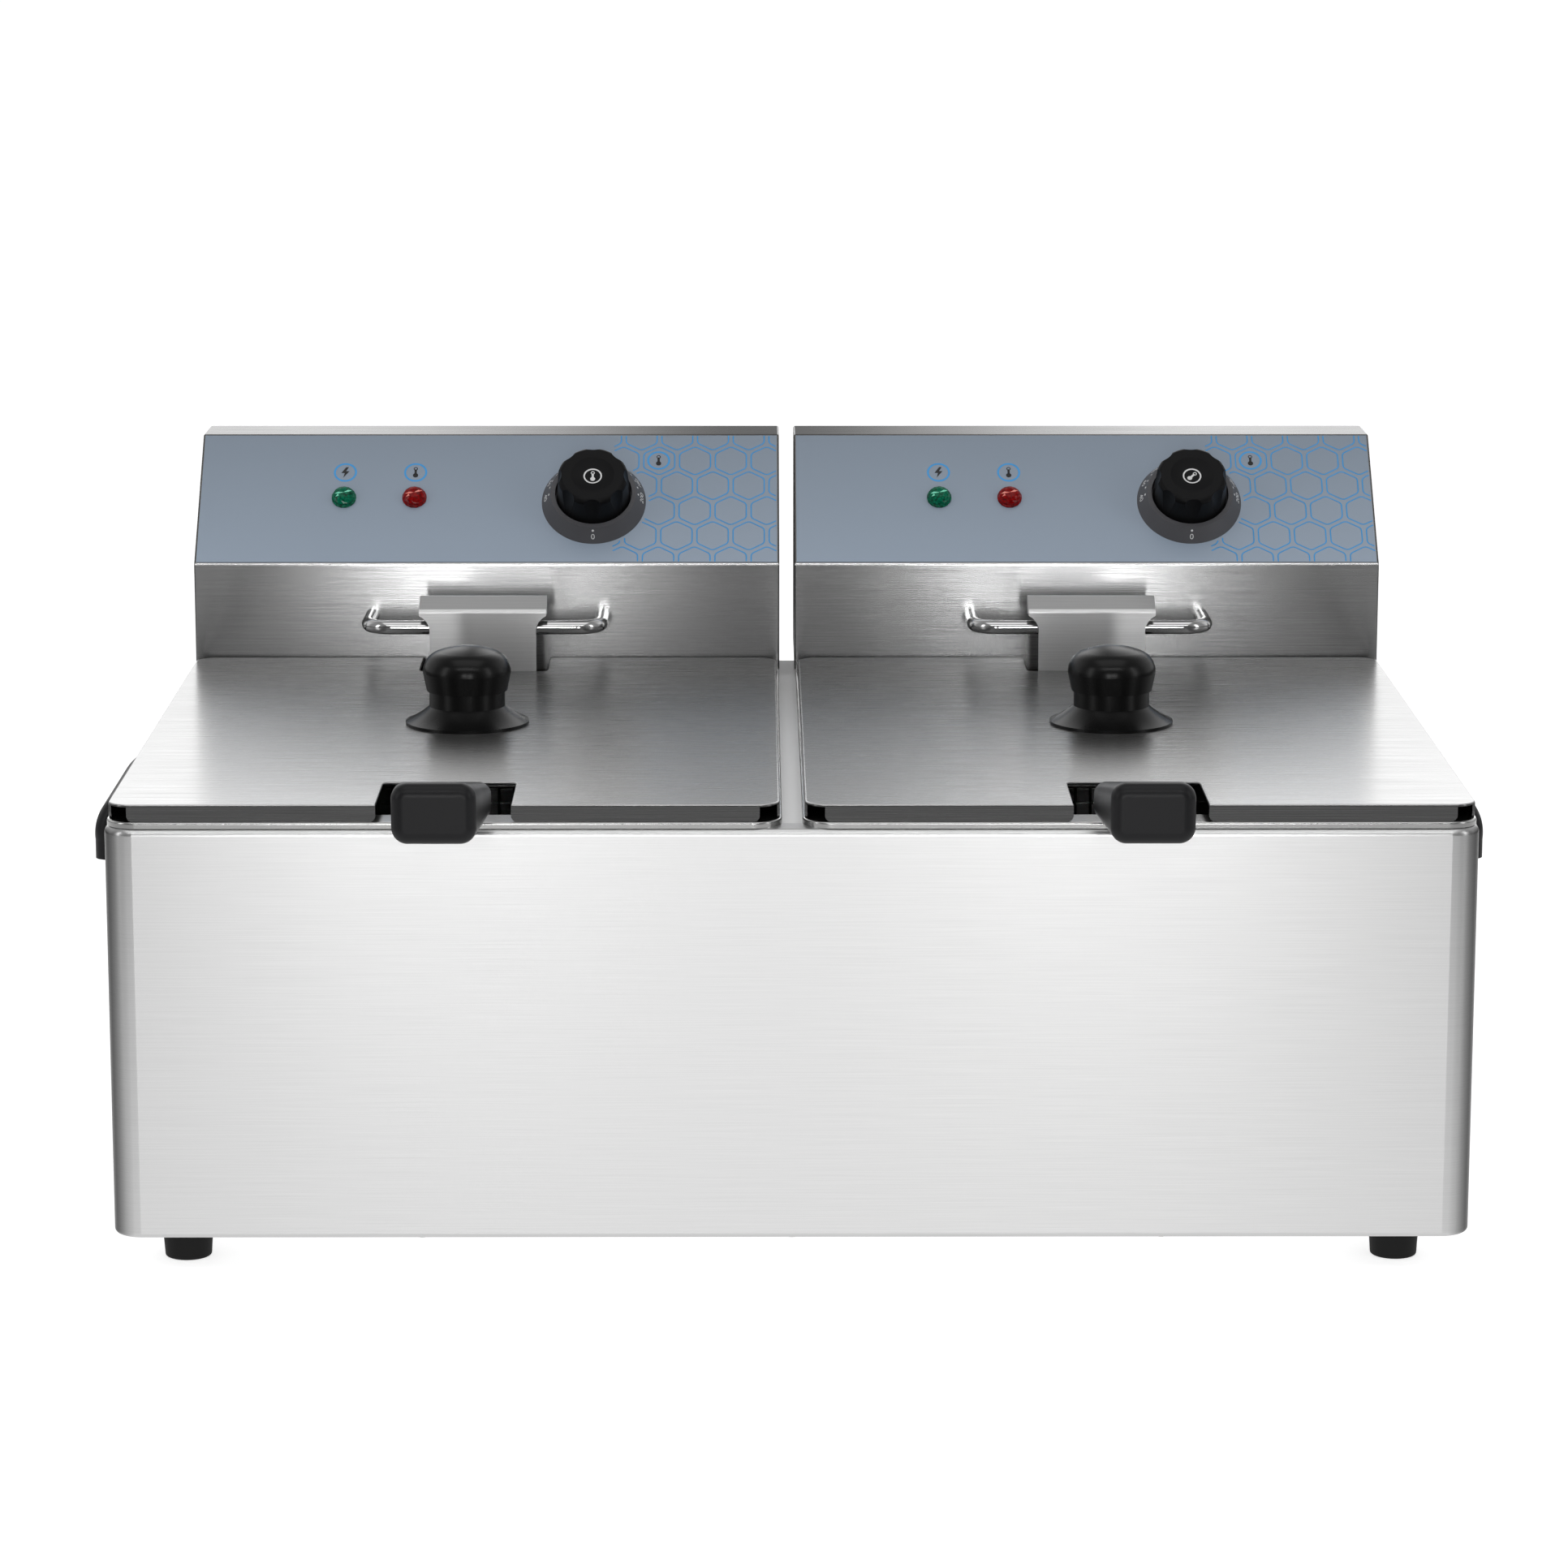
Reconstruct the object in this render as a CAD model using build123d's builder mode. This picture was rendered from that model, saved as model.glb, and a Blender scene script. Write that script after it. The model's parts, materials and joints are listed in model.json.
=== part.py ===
from build123d import *
import math
import os

# Twin-tank countertop electric deep fryer: a sheet steel cabinet with two drop-in tanks. Each tank has its
# own lift-off control head, heating element, wire basket and lid. Millimetres, +Z up, the front faces -Y,
# and the origin is on the table under the middle of the whole object.
os.makedirs("parts", exist_ok=True)

# Cabinet
CABINET_WIDTH = 550.0
CABINET_DEPTH = 432.0
CABINET_HEIGHT = 169.0
CABINET_SHEET = 1.2
CABINET_CORNER = 12.0
TOP_BEND = 3.0
BOTTOM_BEND = 2.0
DECK_FLANGE = 12.0
REAR_LEDGE = 46.0
DIVIDER_WIDTH = 22.0
DIVIDER_DROP = 15.0
LEDGE_NOTCH_WIDTH = 9.0
LEDGE_NOTCH_DROP = 22.0
REAR_FRAME = 24.0
REAR_PANEL_LAP = 9.0
BASE_FRAME = 14.0
BASE_LAP = 9.0
BASE_SHEET = 1.2

# Feet
FOOT_HEIGHT = 17.0
FOOT_FLOOR_RADIUS = 9.5
FOOT_TAPER = 4.0
FOOT_FROM_SIDE = 27.0
FOOT_FROM_FRONT = 35.0
FOOT_RECESS_RADIUS = 5.0
FOOT_RECESS_DEPTH = 6.0
FOOT_ROUND = 1.0

# Carrying handles
HANDLE_LENGTH = 96.0
HANDLE_HEIGHT = 32.0
HANDLE_REACH = 23.0
HANDLE_WALL = 3.0
HANDLE_DROP = 13.0
HANDLE_FROM_FRONT = 198.0
HANDLE_END_ROUND = 6.0
HANDLE_BROW = 4.0
HANDLE_CHEEK = 8.0

# Tanks
TANK_GAP = 8.0
RIM_SIDE_INSET = 1.0
RIM_FRONT_INSET = 1.0
RIM_BACK_CLEAR = 34.0
RIM_HEIGHT = 2.6
RIM_LAND = 14.0
RIM_CORNER = 12.0
RIM_ROUND = 0.9
TANK_SHEET = 1.0
TANK_DEPTH = 146.0
TANK_CORNER = 28.0
TANK_FLOOR_ROUND = 14.0

# Lids
LID_INSET = 1.0
LID_SHEET = 1.0
LID_FLANGE = 7.0
LID_CORNER = 9.0
LID_BEND = 0.8
LID_HEAD_GAP = 5.0
LID_CORNER_OPEN = 8.0
LID_FLANGE_ROUND = 2.5
EDGE_MATCH = 0.01
FRONT_NOTCH_WIDTH = 54.0
FRONT_NOTCH_DEPTH = 46.0
REAR_NOTCH_WIDTH = 58.0
NOTCH_CORNER = 3.0
NOTCH_HOOK_CLEAR = 0.6
LID_KNOB_SET_BACK = 6.0
LID_KNOB_FOOT_RADIUS = 26.6
LID_KNOB_NECK_RADIUS = 16.3
LID_KNOB_JAW_RADIUS = 17.4
LID_KNOB_HEAD_RADIUS = 19.0
LID_KNOB_FOOT_RISE = 1.3
LID_KNOB_NECK_FROM = 7.8
LID_KNOB_NECK_TO = 14.6
LID_KNOB_BROW = 22.5
LID_KNOB_SHOULDER = 9.5
LID_KNOB_CROWN = 36.0
LID_KNOB_FLARE = 34.0
LID_STUD_RADIUS = 2.5
LID_STUD_HEAD_RADIUS = 5.0
LID_STUD_HEAD_HEIGHT = 2.2
LID_STUD_DEPTH = 14.0

# Control heads
HEAD_OVERHANG = 0.5
HEAD_LIFT = 0.4
HEAD_FACE_HEIGHT = 49.5
PANEL_RUN = 53.5
HEAD_TOP_DEPTH = 33.0
HEAD_SHEET = 1.0
HEAD_BEND = 2.0
HEAD_EDGE_ROUND = 0.8
HEAD_BASE_SHEET = 1.5
HEAD_BASE_FIT = 0.2
HEAD_STAND_FROM_BACK = 18.0
FILM_THICKNESS = 0.4
FILM_MARGIN = 1.0

# Basket rest rod on each head
ROD_RADIUS = 3.2
ROD_WIDTH = 113.0
ROD_REACH = 33.0
ROD_ABOVE_LID = 18.8
ROD_CORNER = 11.0

# Dial, thermostat and lamps, set out on the sloping panel
DIAL_X = 49.0
DIAL_Y = -2.2
DIAL_RING_RADIUS = 24.3
DIAL_RING_TOP_RADIUS = 20.0
DIAL_RING_HEIGHT = 7.0
DIAL_RING_FLOOR = 2.0
DIAL_KNOB_RADIUS = 17.2
DIAL_KNOB_HEIGHT = 18.5
DIAL_KNOB_TAPER = 3.0
DIAL_KNOB_ROUND = 2.6
DIAL_KNOB_GAP = 0.7
DIAL_LOBES = 8
DIAL_FLUTE_RADIUS = 4.6
DIAL_FLUTE_CLEAR = 0.3
DIAL_FLUTE_SPREAD = 9.5
DIAL_FLUTE_START = 90.0
DIAL_DISH_RADIUS = 10.0
DIAL_DISH_DEPTH = 1.5
DIAL_REST_TURNS = {"left": 0.0, "right": 45.0}
SHAFT_RADIUS = 3.0
SHAFT_FIT = 0.1
SHAFT_FLAT = 1.0
SHAFT_IN_KNOB = 13.0
SHAFT_IN_THERMOSTAT = 10.0
BUSH_RADIUS = 5.0
BUSH_FIT = 0.15
THERMOSTAT_WIDTH = 36.0
THERMOSTAT_LENGTH = 30.0
THERMOSTAT_DEPTH = 22.0
GREEN_LAMP_X = -67.7
RED_LAMP_X = -34.8
LAMP_RADIUS = 5.75
LAMP_COLLAR = 1.2
LAMP_DOME = 3.4
LAMP_BARREL_RADIUS = 4.6
LAMP_BARREL_LENGTH = 18.0
LAMP_FIT = 0.15

# Heating element and its sensor
ELEMENT_RADIUS = 4.0
ELEMENT_LEG_X = 88.0
ELEMENT_RUN_X = 30.0
ELEMENT_BEND = 26.0
ELEMENT_LEG_BEND = 16.0
ELEMENT_FLOOR_BENDS = 6
ELEMENT_ABOVE_FLOOR = 14.0
ELEMENT_FRONT_CLEAR = 34.0
ELEMENT_BACK_RUN = 40.0
ELEMENT_LEG_CLEAR = 13.0
ELEMENT_TERMINAL = 14.0
ELEMENT_COLLAR_WALL = 1.6
ELEMENT_COLLAR_HEIGHT = 4.0
ELEMENT_FIT = 0.2
BULB_RADIUS = 3.0
BULB_LENGTH = 72.0
BULB_GAP = 0.2
BULB_ABOVE_ELEMENT = 30.0
CAPILLARY_RADIUS = 1.1
CAPILLARY_BEND = 6.0
CAPILLARY_RISE = 2.7
CAPILLARY_FIT = 0.3

# Back of the head
BACK_FITTING_HEIGHT = 30.0
GLAND_X = 62.0
GLAND_BORE_RADIUS = 4.0
GLAND_STUB_RADIUS = 6.0
GLAND_FLANGE_RADIUS = 9.0
GLAND_FLANGE = 3.0
GLAND_NOSE_RADIUS = 7.0
GLAND_REACH = 13.0
GLAND_STUB = 8.0
RESET_X = 18.0
RESET_RADIUS = 2.5
RESET_FIT = 0.15
RESET_TRAVEL = 2.5
RESET_PROUD = 3.5
RESET_SEAT = 4.0
LIMIT_BUSH_RADIUS = 4.5
LIMIT_BUSH_PROUD = 2.0
LIMIT_WIDTH = 26.0
LIMIT_HEIGHT = 22.0
LIMIT_DEPTH = 20.0
TERMINAL_X = -60.0
TERMINAL_LENGTH = 44.0
TERMINAL_WIDTH = 20.0
TERMINAL_HEIGHT = 17.0
TERMINAL_POLES = 4
TERMINAL_WELL_RADIUS = 2.6
TERMINAL_WELL_DEPTH = 9.0

# Wire baskets
BASKET_WIDTH = 212.0
BASKET_FRONT_CLEAR = 30.0
BASKET_CORNER = 16.0
BASKET_ABOVE_ELEMENT = 0.3
BASKET_HEIGHT = 82.0
RIM_WIRE_RADIUS = 3.0
MESH_WIRE = 1.6
MESH_PITCH = 13.0
MESH_EDGE = 3.0
MESH_LAYER_GAP = 0.05
HOOK_SHEET = 1.2
HOOK_ROD_GAP = 3.0
HOOK_WIDTH = 48.5
HOOK_WING_WIDTH = 58.0
HOOK_OVER_ROD = 7.0
HOOK_FOLD_ANGLE = 27.0
HOOK_FOLD_RUN = 13.0
HOOK_LIP = 9.0
HOOK_BEND = 1.5
HOOK_WING_DROP = 2.2
HOOK_SHOULDER = 8.0
HOOK_FLANGE_CLEAR = 0.5
HOOK_TAIL = 60.0
STAY_RADIUS = 2.5
STAY_SPACING = 20.0
STAY_TAIL = 50.0
STAY_BEND = 12.0
STAY_IN_GRIP = 34.0
GRIP_REACH = 60.0
GRIP_LENGTH = 56.0
GRIP_FRONT_WIDTH = 32.5
GRIP_FRONT_HEIGHT = 25.0
GRIP_FRONT_CORNER = 6.5
GRIP_FRONT_ABOVE_LID = 9.0
GRIP_REAR_WIDTH = 39.0
GRIP_REAR_HEIGHT = 15.0
GRIP_REAR_CORNER = 5.0
GRIP_REAR_ABOVE_LID = 3.0
GRIP_NOSE_ROUND = 5.0
GRIP_FIT = 0.05

# Levels and lines that the pieces share
cabinet_bottom = FOOT_HEIGHT
deck_z = cabinet_bottom + CABINET_HEIGHT
rim_top = deck_z + RIM_HEIGHT
lid_top = rim_top + LID_FLANGE
front_y = (GRIP_REACH - GLAND_REACH - CABINET_DEPTH) / 2
back_y = front_y + CABINET_DEPTH
cabinet_mid_y = (front_y + back_y) / 2
rim_width = (CABINET_WIDTH - TANK_GAP) / 2 - RIM_SIDE_INSET
unit_x = (rim_width + TANK_GAP) / 2
SIDES = {"left": -unit_x, "right": unit_x}

rim_front_y = front_y + RIM_FRONT_INSET
rim_length = CABINET_DEPTH - RIM_FRONT_INSET - RIM_BACK_CLEAR
rim_mid_y = rim_front_y + rim_length / 2
tank_width = rim_width - 2 * RIM_LAND
tank_length = rim_length - 2 * RIM_LAND
tank_floor_z = rim_top - TANK_DEPTH + TANK_SHEET
tank_front_y = rim_front_y + RIM_LAND + TANK_SHEET
tank_back_y = rim_front_y + rim_length - RIM_LAND - TANK_SHEET

head_depth = PANEL_RUN + HEAD_TOP_DEPTH
head_front_y = back_y - head_depth
head_bottom = rim_top + HEAD_LIFT
head_width = rim_width + 2 * HEAD_OVERHANG
fold_z = head_bottom + HEAD_FACE_HEIGHT
head_top = fold_z + PANEL_RUN
panel_length = PANEL_RUN * math.sqrt(2)
panel_plane = Plane(
    origin=(0, head_front_y + PANEL_RUN / 2, fold_z + PANEL_RUN / 2), x_dir=(1, 0, 0), z_dir=(0, -1, 1)
)
film_top = panel_plane.offset(FILM_THICKNESS)
dial_plane = Plane(
    origin=film_top.from_local_coords((DIAL_X, DIAL_Y, 0)), x_dir=(1, 0, 0), z_dir=(0, -1, 1)
)
panel_back = panel_plane.offset(-HEAD_SHEET)
head_base_top = head_bottom + HEAD_BASE_SHEET

lid_width = rim_width - 2 * LID_INSET
lid_front_y = rim_front_y + LID_INSET
lid_back_y = head_front_y - LID_HEAD_GAP
lid_length = lid_back_y - lid_front_y
lid_mid_y = (lid_front_y + lid_back_y) / 2
lid_knob_y = lid_mid_y + LID_KNOB_SET_BACK

rod_y = head_front_y - ROD_REACH
rod_z = lid_top + ROD_ABOVE_LID
hook_front_y = rod_y - ROD_RADIUS - HOOK_ROD_GAP - HOOK_SHEET
rear_notch_depth = lid_back_y - hook_front_y + NOTCH_HOOK_CLEAR

element_z = tank_floor_z + ELEMENT_ABOVE_FLOOR
leg_y = tank_back_y - ELEMENT_LEG_CLEAR
collar_radius = ELEMENT_RADIUS + ELEMENT_COLLAR_WALL
bulb_offset = max(ELEMENT_RADIUS + BULB_GAP + BULB_RADIUS, collar_radius + CAPILLARY_FIT + CAPILLARY_RADIUS)
capillary_x = ELEMENT_LEG_X - bulb_offset
basket_floor_z = element_z + ELEMENT_RADIUS + BASKET_ABOVE_ELEMENT
basket_rim_z = basket_floor_z + BASKET_HEIGHT
basket_front_y = front_y + BASKET_FRONT_CLEAR
basket_length = hook_front_y - basket_front_y
basket_mid_y = basket_front_y + basket_length / 2
fitting_z = head_bottom + BACK_FITTING_HEIGHT
inner_back_y = back_y - HEAD_SHEET


def write(part, name):
    """Writes one finished piece as its own node."""
    part.label = name
    export_step(part, f"parts/{name}.step")


def write_pair(part, name):
    """Writes a piece of one frying unit, modelled about x = 0, at both units' places."""
    for side, x in SIDES.items():
        write(Pos(x, 0, 0) * part, f"{side}_{name}")


# Cabinet shell: folded front, sides and back with an inward deck flange and a return along the bottom
with BuildPart() as cabinet_shell:
    with BuildSketch(Plane.XY.offset(cabinet_bottom)):
        with Locations((0, cabinet_mid_y)):
            RectangleRounded(CABINET_WIDTH, CABINET_DEPTH, CABINET_CORNER)
    extrude(amount=CABINET_HEIGHT)
    fillet(cabinet_shell.faces().sort_by(Axis.Z)[-1].edges(), TOP_BEND)
    fillet(cabinet_shell.faces().sort_by(Axis.Z)[0].edges(), BOTTOM_BEND)
    offset(amount=-CABINET_SHEET, mode=Mode.SUBTRACT)
    # One opening in the deck takes both tanks
    deck_front_y = front_y + DECK_FLANGE
    deck_back_y = back_y - REAR_LEDGE
    with BuildSketch(Plane.XY.offset(deck_z)):
        with Locations((0, (deck_front_y + deck_back_y) / 2)):
            Rectangle(CABINET_WIDTH - 2 * DECK_FLANGE, deck_back_y - deck_front_y)
    extrude(amount=-2 * TOP_BEND, mode=Mode.SUBTRACT)
    # The bottom is closed by the base plate, inside the return
    with BuildSketch(Plane.XY.offset(cabinet_bottom)):
        with Locations((0, cabinet_mid_y)):
            Rectangle(CABINET_WIDTH - 2 * BASE_FRAME, CABINET_DEPTH - 2 * BASE_FRAME)
    extrude(amount=2 * BOTTOM_BEND, mode=Mode.SUBTRACT)
    # The back is closed by the rear panel, behind a frame
    with BuildSketch(Plane.XZ.offset(-back_y)):
        with Locations((0, cabinet_bottom + CABINET_HEIGHT / 2)):
            Rectangle(CABINET_WIDTH - 2 * REAR_FRAME, CABINET_HEIGHT - 2 * REAR_FRAME)
    extrude(amount=2 * CABINET_SHEET, mode=Mode.SUBTRACT)
    # The ledge is cut away in the gap between the two heads
    with BuildSketch(Plane.XY.offset(deck_z)):
        with Locations((0, deck_back_y)):
            Rectangle(LEDGE_NOTCH_WIDTH, REAR_LEDGE, align=(Align.CENTER, Align.MIN))
    extrude(amount=-LEDGE_NOTCH_DROP, mode=Mode.SUBTRACT)
write(cabinet_shell.part, "cabinet_shell")

# Deck divider: an inverted channel that carries the inner rims of both tanks
with BuildPart() as deck_divider:
    divider_length = deck_back_y - deck_front_y
    with BuildSketch(Plane.XZ.offset(-deck_front_y)):
        with Locations((0, deck_z)):
            Rectangle(DIVIDER_WIDTH, DIVIDER_DROP, align=(Align.CENTER, Align.MAX))
        with Locations((0, deck_z - CABINET_SHEET)):
            Rectangle(
                DIVIDER_WIDTH - 2 * CABINET_SHEET,
                DIVIDER_DROP,
                align=(Align.CENTER, Align.MAX),
                mode=Mode.SUBTRACT,
            )
    extrude(amount=-divider_length)
write(deck_divider.part, "deck_divider")

# Rear panel, fixed inside the frame of the cabinet's back
with BuildPart() as rear_panel:
    with BuildSketch(Plane.XZ.offset(CABINET_SHEET - back_y)):
        with Locations((0, cabinet_bottom + CABINET_HEIGHT / 2)):
            Rectangle(
                CABINET_WIDTH - 2 * REAR_FRAME + 2 * REAR_PANEL_LAP,
                CABINET_HEIGHT - 2 * REAR_FRAME + 2 * REAR_PANEL_LAP,
            )
            with Locations((0, CABINET_HEIGHT / 2 - REAR_FRAME + REAR_PANEL_LAP)):
                Rectangle(
                    LEDGE_NOTCH_WIDTH,
                    2 * (LEDGE_NOTCH_DROP - REAR_FRAME + REAR_PANEL_LAP),
                    mode=Mode.SUBTRACT,
                )
    extrude(amount=CABINET_SHEET)
write(rear_panel.part, "rear_panel")

# Base plate, laid on the return along the bottom
with BuildPart() as base_plate:
    with BuildSketch(Plane.XY.offset(cabinet_bottom + CABINET_SHEET)):
        with Locations((0, cabinet_mid_y)):
            Rectangle(
                CABINET_WIDTH - 2 * BASE_FRAME + 2 * BASE_LAP, CABINET_DEPTH - 2 * BASE_FRAME + 2 * BASE_LAP
            )
    extrude(amount=BASE_SHEET)
write(base_plate.part, "base_plate")

# Four tapered rubber feet with a screw recess
with BuildPart() as rubber_feet:
    foot_spacing = (CABINET_WIDTH - 2 * FOOT_FROM_SIDE, CABINET_DEPTH - 2 * FOOT_FROM_FRONT)
    with BuildSketch(Plane.XY):
        with Locations((0, cabinet_mid_y)):
            with GridLocations(*foot_spacing, 2, 2):
                Circle(FOOT_FLOOR_RADIUS)
    extrude(amount=FOOT_HEIGHT + CABINET_SHEET, taper=-FOOT_TAPER)
    fillet(rubber_feet.edges().group_by(Axis.Z)[0], FOOT_ROUND)
    with BuildSketch(Plane.XY):
        with Locations((0, cabinet_mid_y)):
            with GridLocations(*foot_spacing, 2, 2):
                Circle(FOOT_RECESS_RADIUS)
    extrude(amount=FOOT_RECESS_DEPTH, mode=Mode.SUBTRACT)
write(rubber_feet.part, "rubber_feet")

# Carrying handle: a moulded cup pull, open below for the fingers
with BuildPart() as carry_handle:
    handle_top = deck_z - HANDLE_DROP
    handle_x = CABINET_WIDTH / 2
    handle_mid_y = front_y + HANDLE_FROM_FRONT
    with BuildSketch(Plane.XZ.offset(HANDLE_LENGTH / 2 - handle_mid_y)):
        with BuildLine():
            Polyline(
                (handle_x, handle_top),
                (handle_x, handle_top - HANDLE_HEIGHT),
                (handle_x + HANDLE_REACH, handle_top - HANDLE_HEIGHT),
                (handle_x + HANDLE_REACH, handle_top - HANDLE_HEIGHT + HANDLE_CHEEK),
            )
            ThreePointArc(
                (handle_x + HANDLE_REACH, handle_top - HANDLE_HEIGHT + HANDLE_CHEEK),
                (
                    handle_x + HANDLE_BROW + (HANDLE_REACH - HANDLE_BROW) * math.cos(math.pi / 4),
                    handle_top
                    - HANDLE_HEIGHT
                    + HANDLE_CHEEK
                    + (HANDLE_HEIGHT - HANDLE_CHEEK) * math.sin(math.pi / 4),
                ),
                (handle_x + HANDLE_BROW, handle_top),
            )
            Line((handle_x + HANDLE_BROW, handle_top), (handle_x, handle_top))
        make_face()
    extrude(amount=-HANDLE_LENGTH)
    end_edges = carry_handle.faces().filter_by(Axis.Y).edges().filter_by(Axis.X, reverse=True)
    outer_ends = end_edges.filter_by_position(Axis.X, handle_x + HANDLE_WALL, handle_x + 2 * HANDLE_REACH)
    fillet(outer_ends, HANDLE_END_ROUND)
    offset(
        amount=-HANDLE_WALL,
        openings=[carry_handle.faces().sort_by(Axis.Z)[0], carry_handle.faces().sort_by(Axis.X)[0]],
    )
write(carry_handle.part, "right_carry_handle")
with BuildPart() as left_handle:
    mirror(carry_handle.part, about=Plane.YZ)
write(left_handle.part, "left_carry_handle")

# Tank: deep-drawn pan with a flat rim whose folded edge stands on the deck
with BuildPart() as tank:
    with BuildSketch(Plane.XY.offset(rim_top)):
        with Locations((0, rim_mid_y)):
            RectangleRounded(tank_width, tank_length, TANK_CORNER)
    extrude(amount=-TANK_DEPTH)
    fillet(tank.faces().sort_by(Axis.Z)[0].edges(), TANK_FLOOR_ROUND)
    offset(amount=-TANK_SHEET, openings=tank.faces().sort_by(Axis.Z)[-1])
    with BuildSketch(Plane.XY.offset(rim_top)):
        with Locations((0, rim_mid_y)):
            RectangleRounded(rim_width, rim_length, RIM_CORNER)
            RectangleRounded(
                tank_width - TANK_SHEET,
                tank_length - TANK_SHEET,
                TANK_CORNER - TANK_SHEET / 2,
                mode=Mode.SUBTRACT,
            )
    extrude(amount=-TANK_SHEET)
    with BuildSketch(Plane.XY.offset(rim_top)):
        with Locations((0, rim_mid_y)):
            RectangleRounded(rim_width, rim_length, RIM_CORNER)
            RectangleRounded(
                rim_width - 2 * TANK_SHEET,
                rim_length - 2 * TANK_SHEET,
                RIM_CORNER - TANK_SHEET,
                mode=Mode.SUBTRACT,
            )
    extrude(amount=-RIM_HEIGHT)
    fillet(tank.faces().sort_by(Axis.Z)[-1].outer_wire().edges(), RIM_ROUND)
write_pair(tank.part, "tank")

# Lid: flat sheet with four folded edges, open at the corners, and notches for the basket's grip and hook
with BuildPart() as lid_cover:
    with BuildSketch(Plane.XY.offset(lid_top - LID_SHEET)):
        with Locations((0, lid_mid_y)):
            RectangleRounded(lid_width, lid_length, LID_CORNER)
        with Locations((0, lid_front_y)):
            RectangleRounded(FRONT_NOTCH_WIDTH, 2 * FRONT_NOTCH_DEPTH, NOTCH_CORNER, mode=Mode.SUBTRACT)
        with Locations((0, lid_back_y)):
            RectangleRounded(REAR_NOTCH_WIDTH, 2 * rear_notch_depth, NOTCH_CORNER, mode=Mode.SUBTRACT)
        with Locations((0, lid_knob_y)):
            Circle(LID_STUD_RADIUS, mode=Mode.SUBTRACT)
    extrude(amount=LID_SHEET)
    with BuildSketch(Plane.XY.offset(lid_top - LID_SHEET)):
        with Locations((0, lid_mid_y)):
            Rectangle(lid_width, lid_length)
            Rectangle(lid_width - 2 * LID_SHEET, lid_length - 2 * LID_SHEET, mode=Mode.SUBTRACT)
            with GridLocations(lid_width, lid_length, 2, 2):
                Rectangle(2 * LID_CORNER_OPEN, 2 * LID_CORNER_OPEN, mode=Mode.SUBTRACT)
        with Locations((0, lid_front_y)):
            Rectangle(FRONT_NOTCH_WIDTH, FRONT_NOTCH_DEPTH, mode=Mode.SUBTRACT)
        with Locations((0, lid_back_y)):
            Rectangle(REAR_NOTCH_WIDTH, rear_notch_depth, mode=Mode.SUBTRACT)
    extrude(amount=LID_SHEET - LID_FLANGE)
    flange_corners = lid_cover.edges().filter_by(lambda edge: abs(edge.length - LID_SHEET) < EDGE_MATCH)
    fillet(flange_corners.group_by(Axis.Z)[0], LID_FLANGE_ROUND)
    top_rim = lid_cover.faces().sort_by(Axis.Z)[-1].outer_wire().edges()
    fillet(top_rim, LID_BEND)
write_pair(lid_cover.part, "lid_cover")

# Lid knob: turned handle with a flared foot, a neck and a domed head
shoulder_x = LID_KNOB_HEAD_RADIUS - LID_KNOB_SHOULDER
crown_share = LID_KNOB_CROWN / (LID_KNOB_CROWN - LID_KNOB_SHOULDER)
crown_drop = math.sqrt((LID_KNOB_CROWN - LID_KNOB_SHOULDER) ** 2 - shoulder_x**2)
crown_z = LID_KNOB_BROW - crown_drop
crown_edge = (shoulder_x * crown_share, crown_z + crown_drop * crown_share)
knob_height = crown_z + LID_KNOB_CROWN
with BuildPart() as lid_knob:
    with BuildSketch(Plane(origin=(0, lid_knob_y, lid_top), x_dir=(1, 0, 0), z_dir=(0, -1, 0))):
        with BuildLine():
            Polyline((0, LID_STUD_DEPTH), (LID_STUD_RADIUS, LID_STUD_DEPTH), (LID_STUD_RADIUS, 0))
            Polyline(
                (LID_STUD_RADIUS, 0), (LID_KNOB_FOOT_RADIUS, 0), (LID_KNOB_FOOT_RADIUS, LID_KNOB_FOOT_RISE)
            )
            RadiusArc(
                (LID_KNOB_FOOT_RADIUS, LID_KNOB_FOOT_RISE),
                (LID_KNOB_NECK_RADIUS, LID_KNOB_NECK_FROM),
                LID_KNOB_FLARE,
            )
            Line((LID_KNOB_NECK_RADIUS, LID_KNOB_NECK_FROM), (LID_KNOB_NECK_RADIUS, LID_KNOB_NECK_TO))
            Polyline(
                (LID_KNOB_NECK_RADIUS, LID_KNOB_NECK_TO),
                (LID_KNOB_JAW_RADIUS, LID_KNOB_NECK_TO),
                (LID_KNOB_HEAD_RADIUS, LID_KNOB_BROW),
            )
            RadiusArc((LID_KNOB_HEAD_RADIUS, LID_KNOB_BROW), crown_edge, -LID_KNOB_SHOULDER)
            RadiusArc(crown_edge, (0, knob_height), -LID_KNOB_CROWN)
            Line((0, knob_height), (0, LID_STUD_DEPTH))
        make_face()
    revolve(axis=Axis((0, lid_knob_y, 0), (0, 0, 1)))
write_pair(lid_knob.part, "lid_knob")

# Lid stud: the screw through the lid that holds the knob
with BuildPart() as lid_stud:
    with BuildSketch(Plane.XY.offset(lid_top - LID_SHEET)):
        with Locations((0, lid_knob_y)):
            Circle(LID_STUD_HEAD_RADIUS)
    extrude(amount=-LID_STUD_HEAD_HEIGHT)
    with BuildSketch(Plane.XY.offset(lid_top - LID_SHEET)):
        with Locations((0, lid_knob_y)):
            Circle(LID_STUD_RADIUS)
    extrude(amount=LID_SHEET + LID_STUD_DEPTH)
write_pair(lid_stud.part, "lid_stud")

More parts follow.
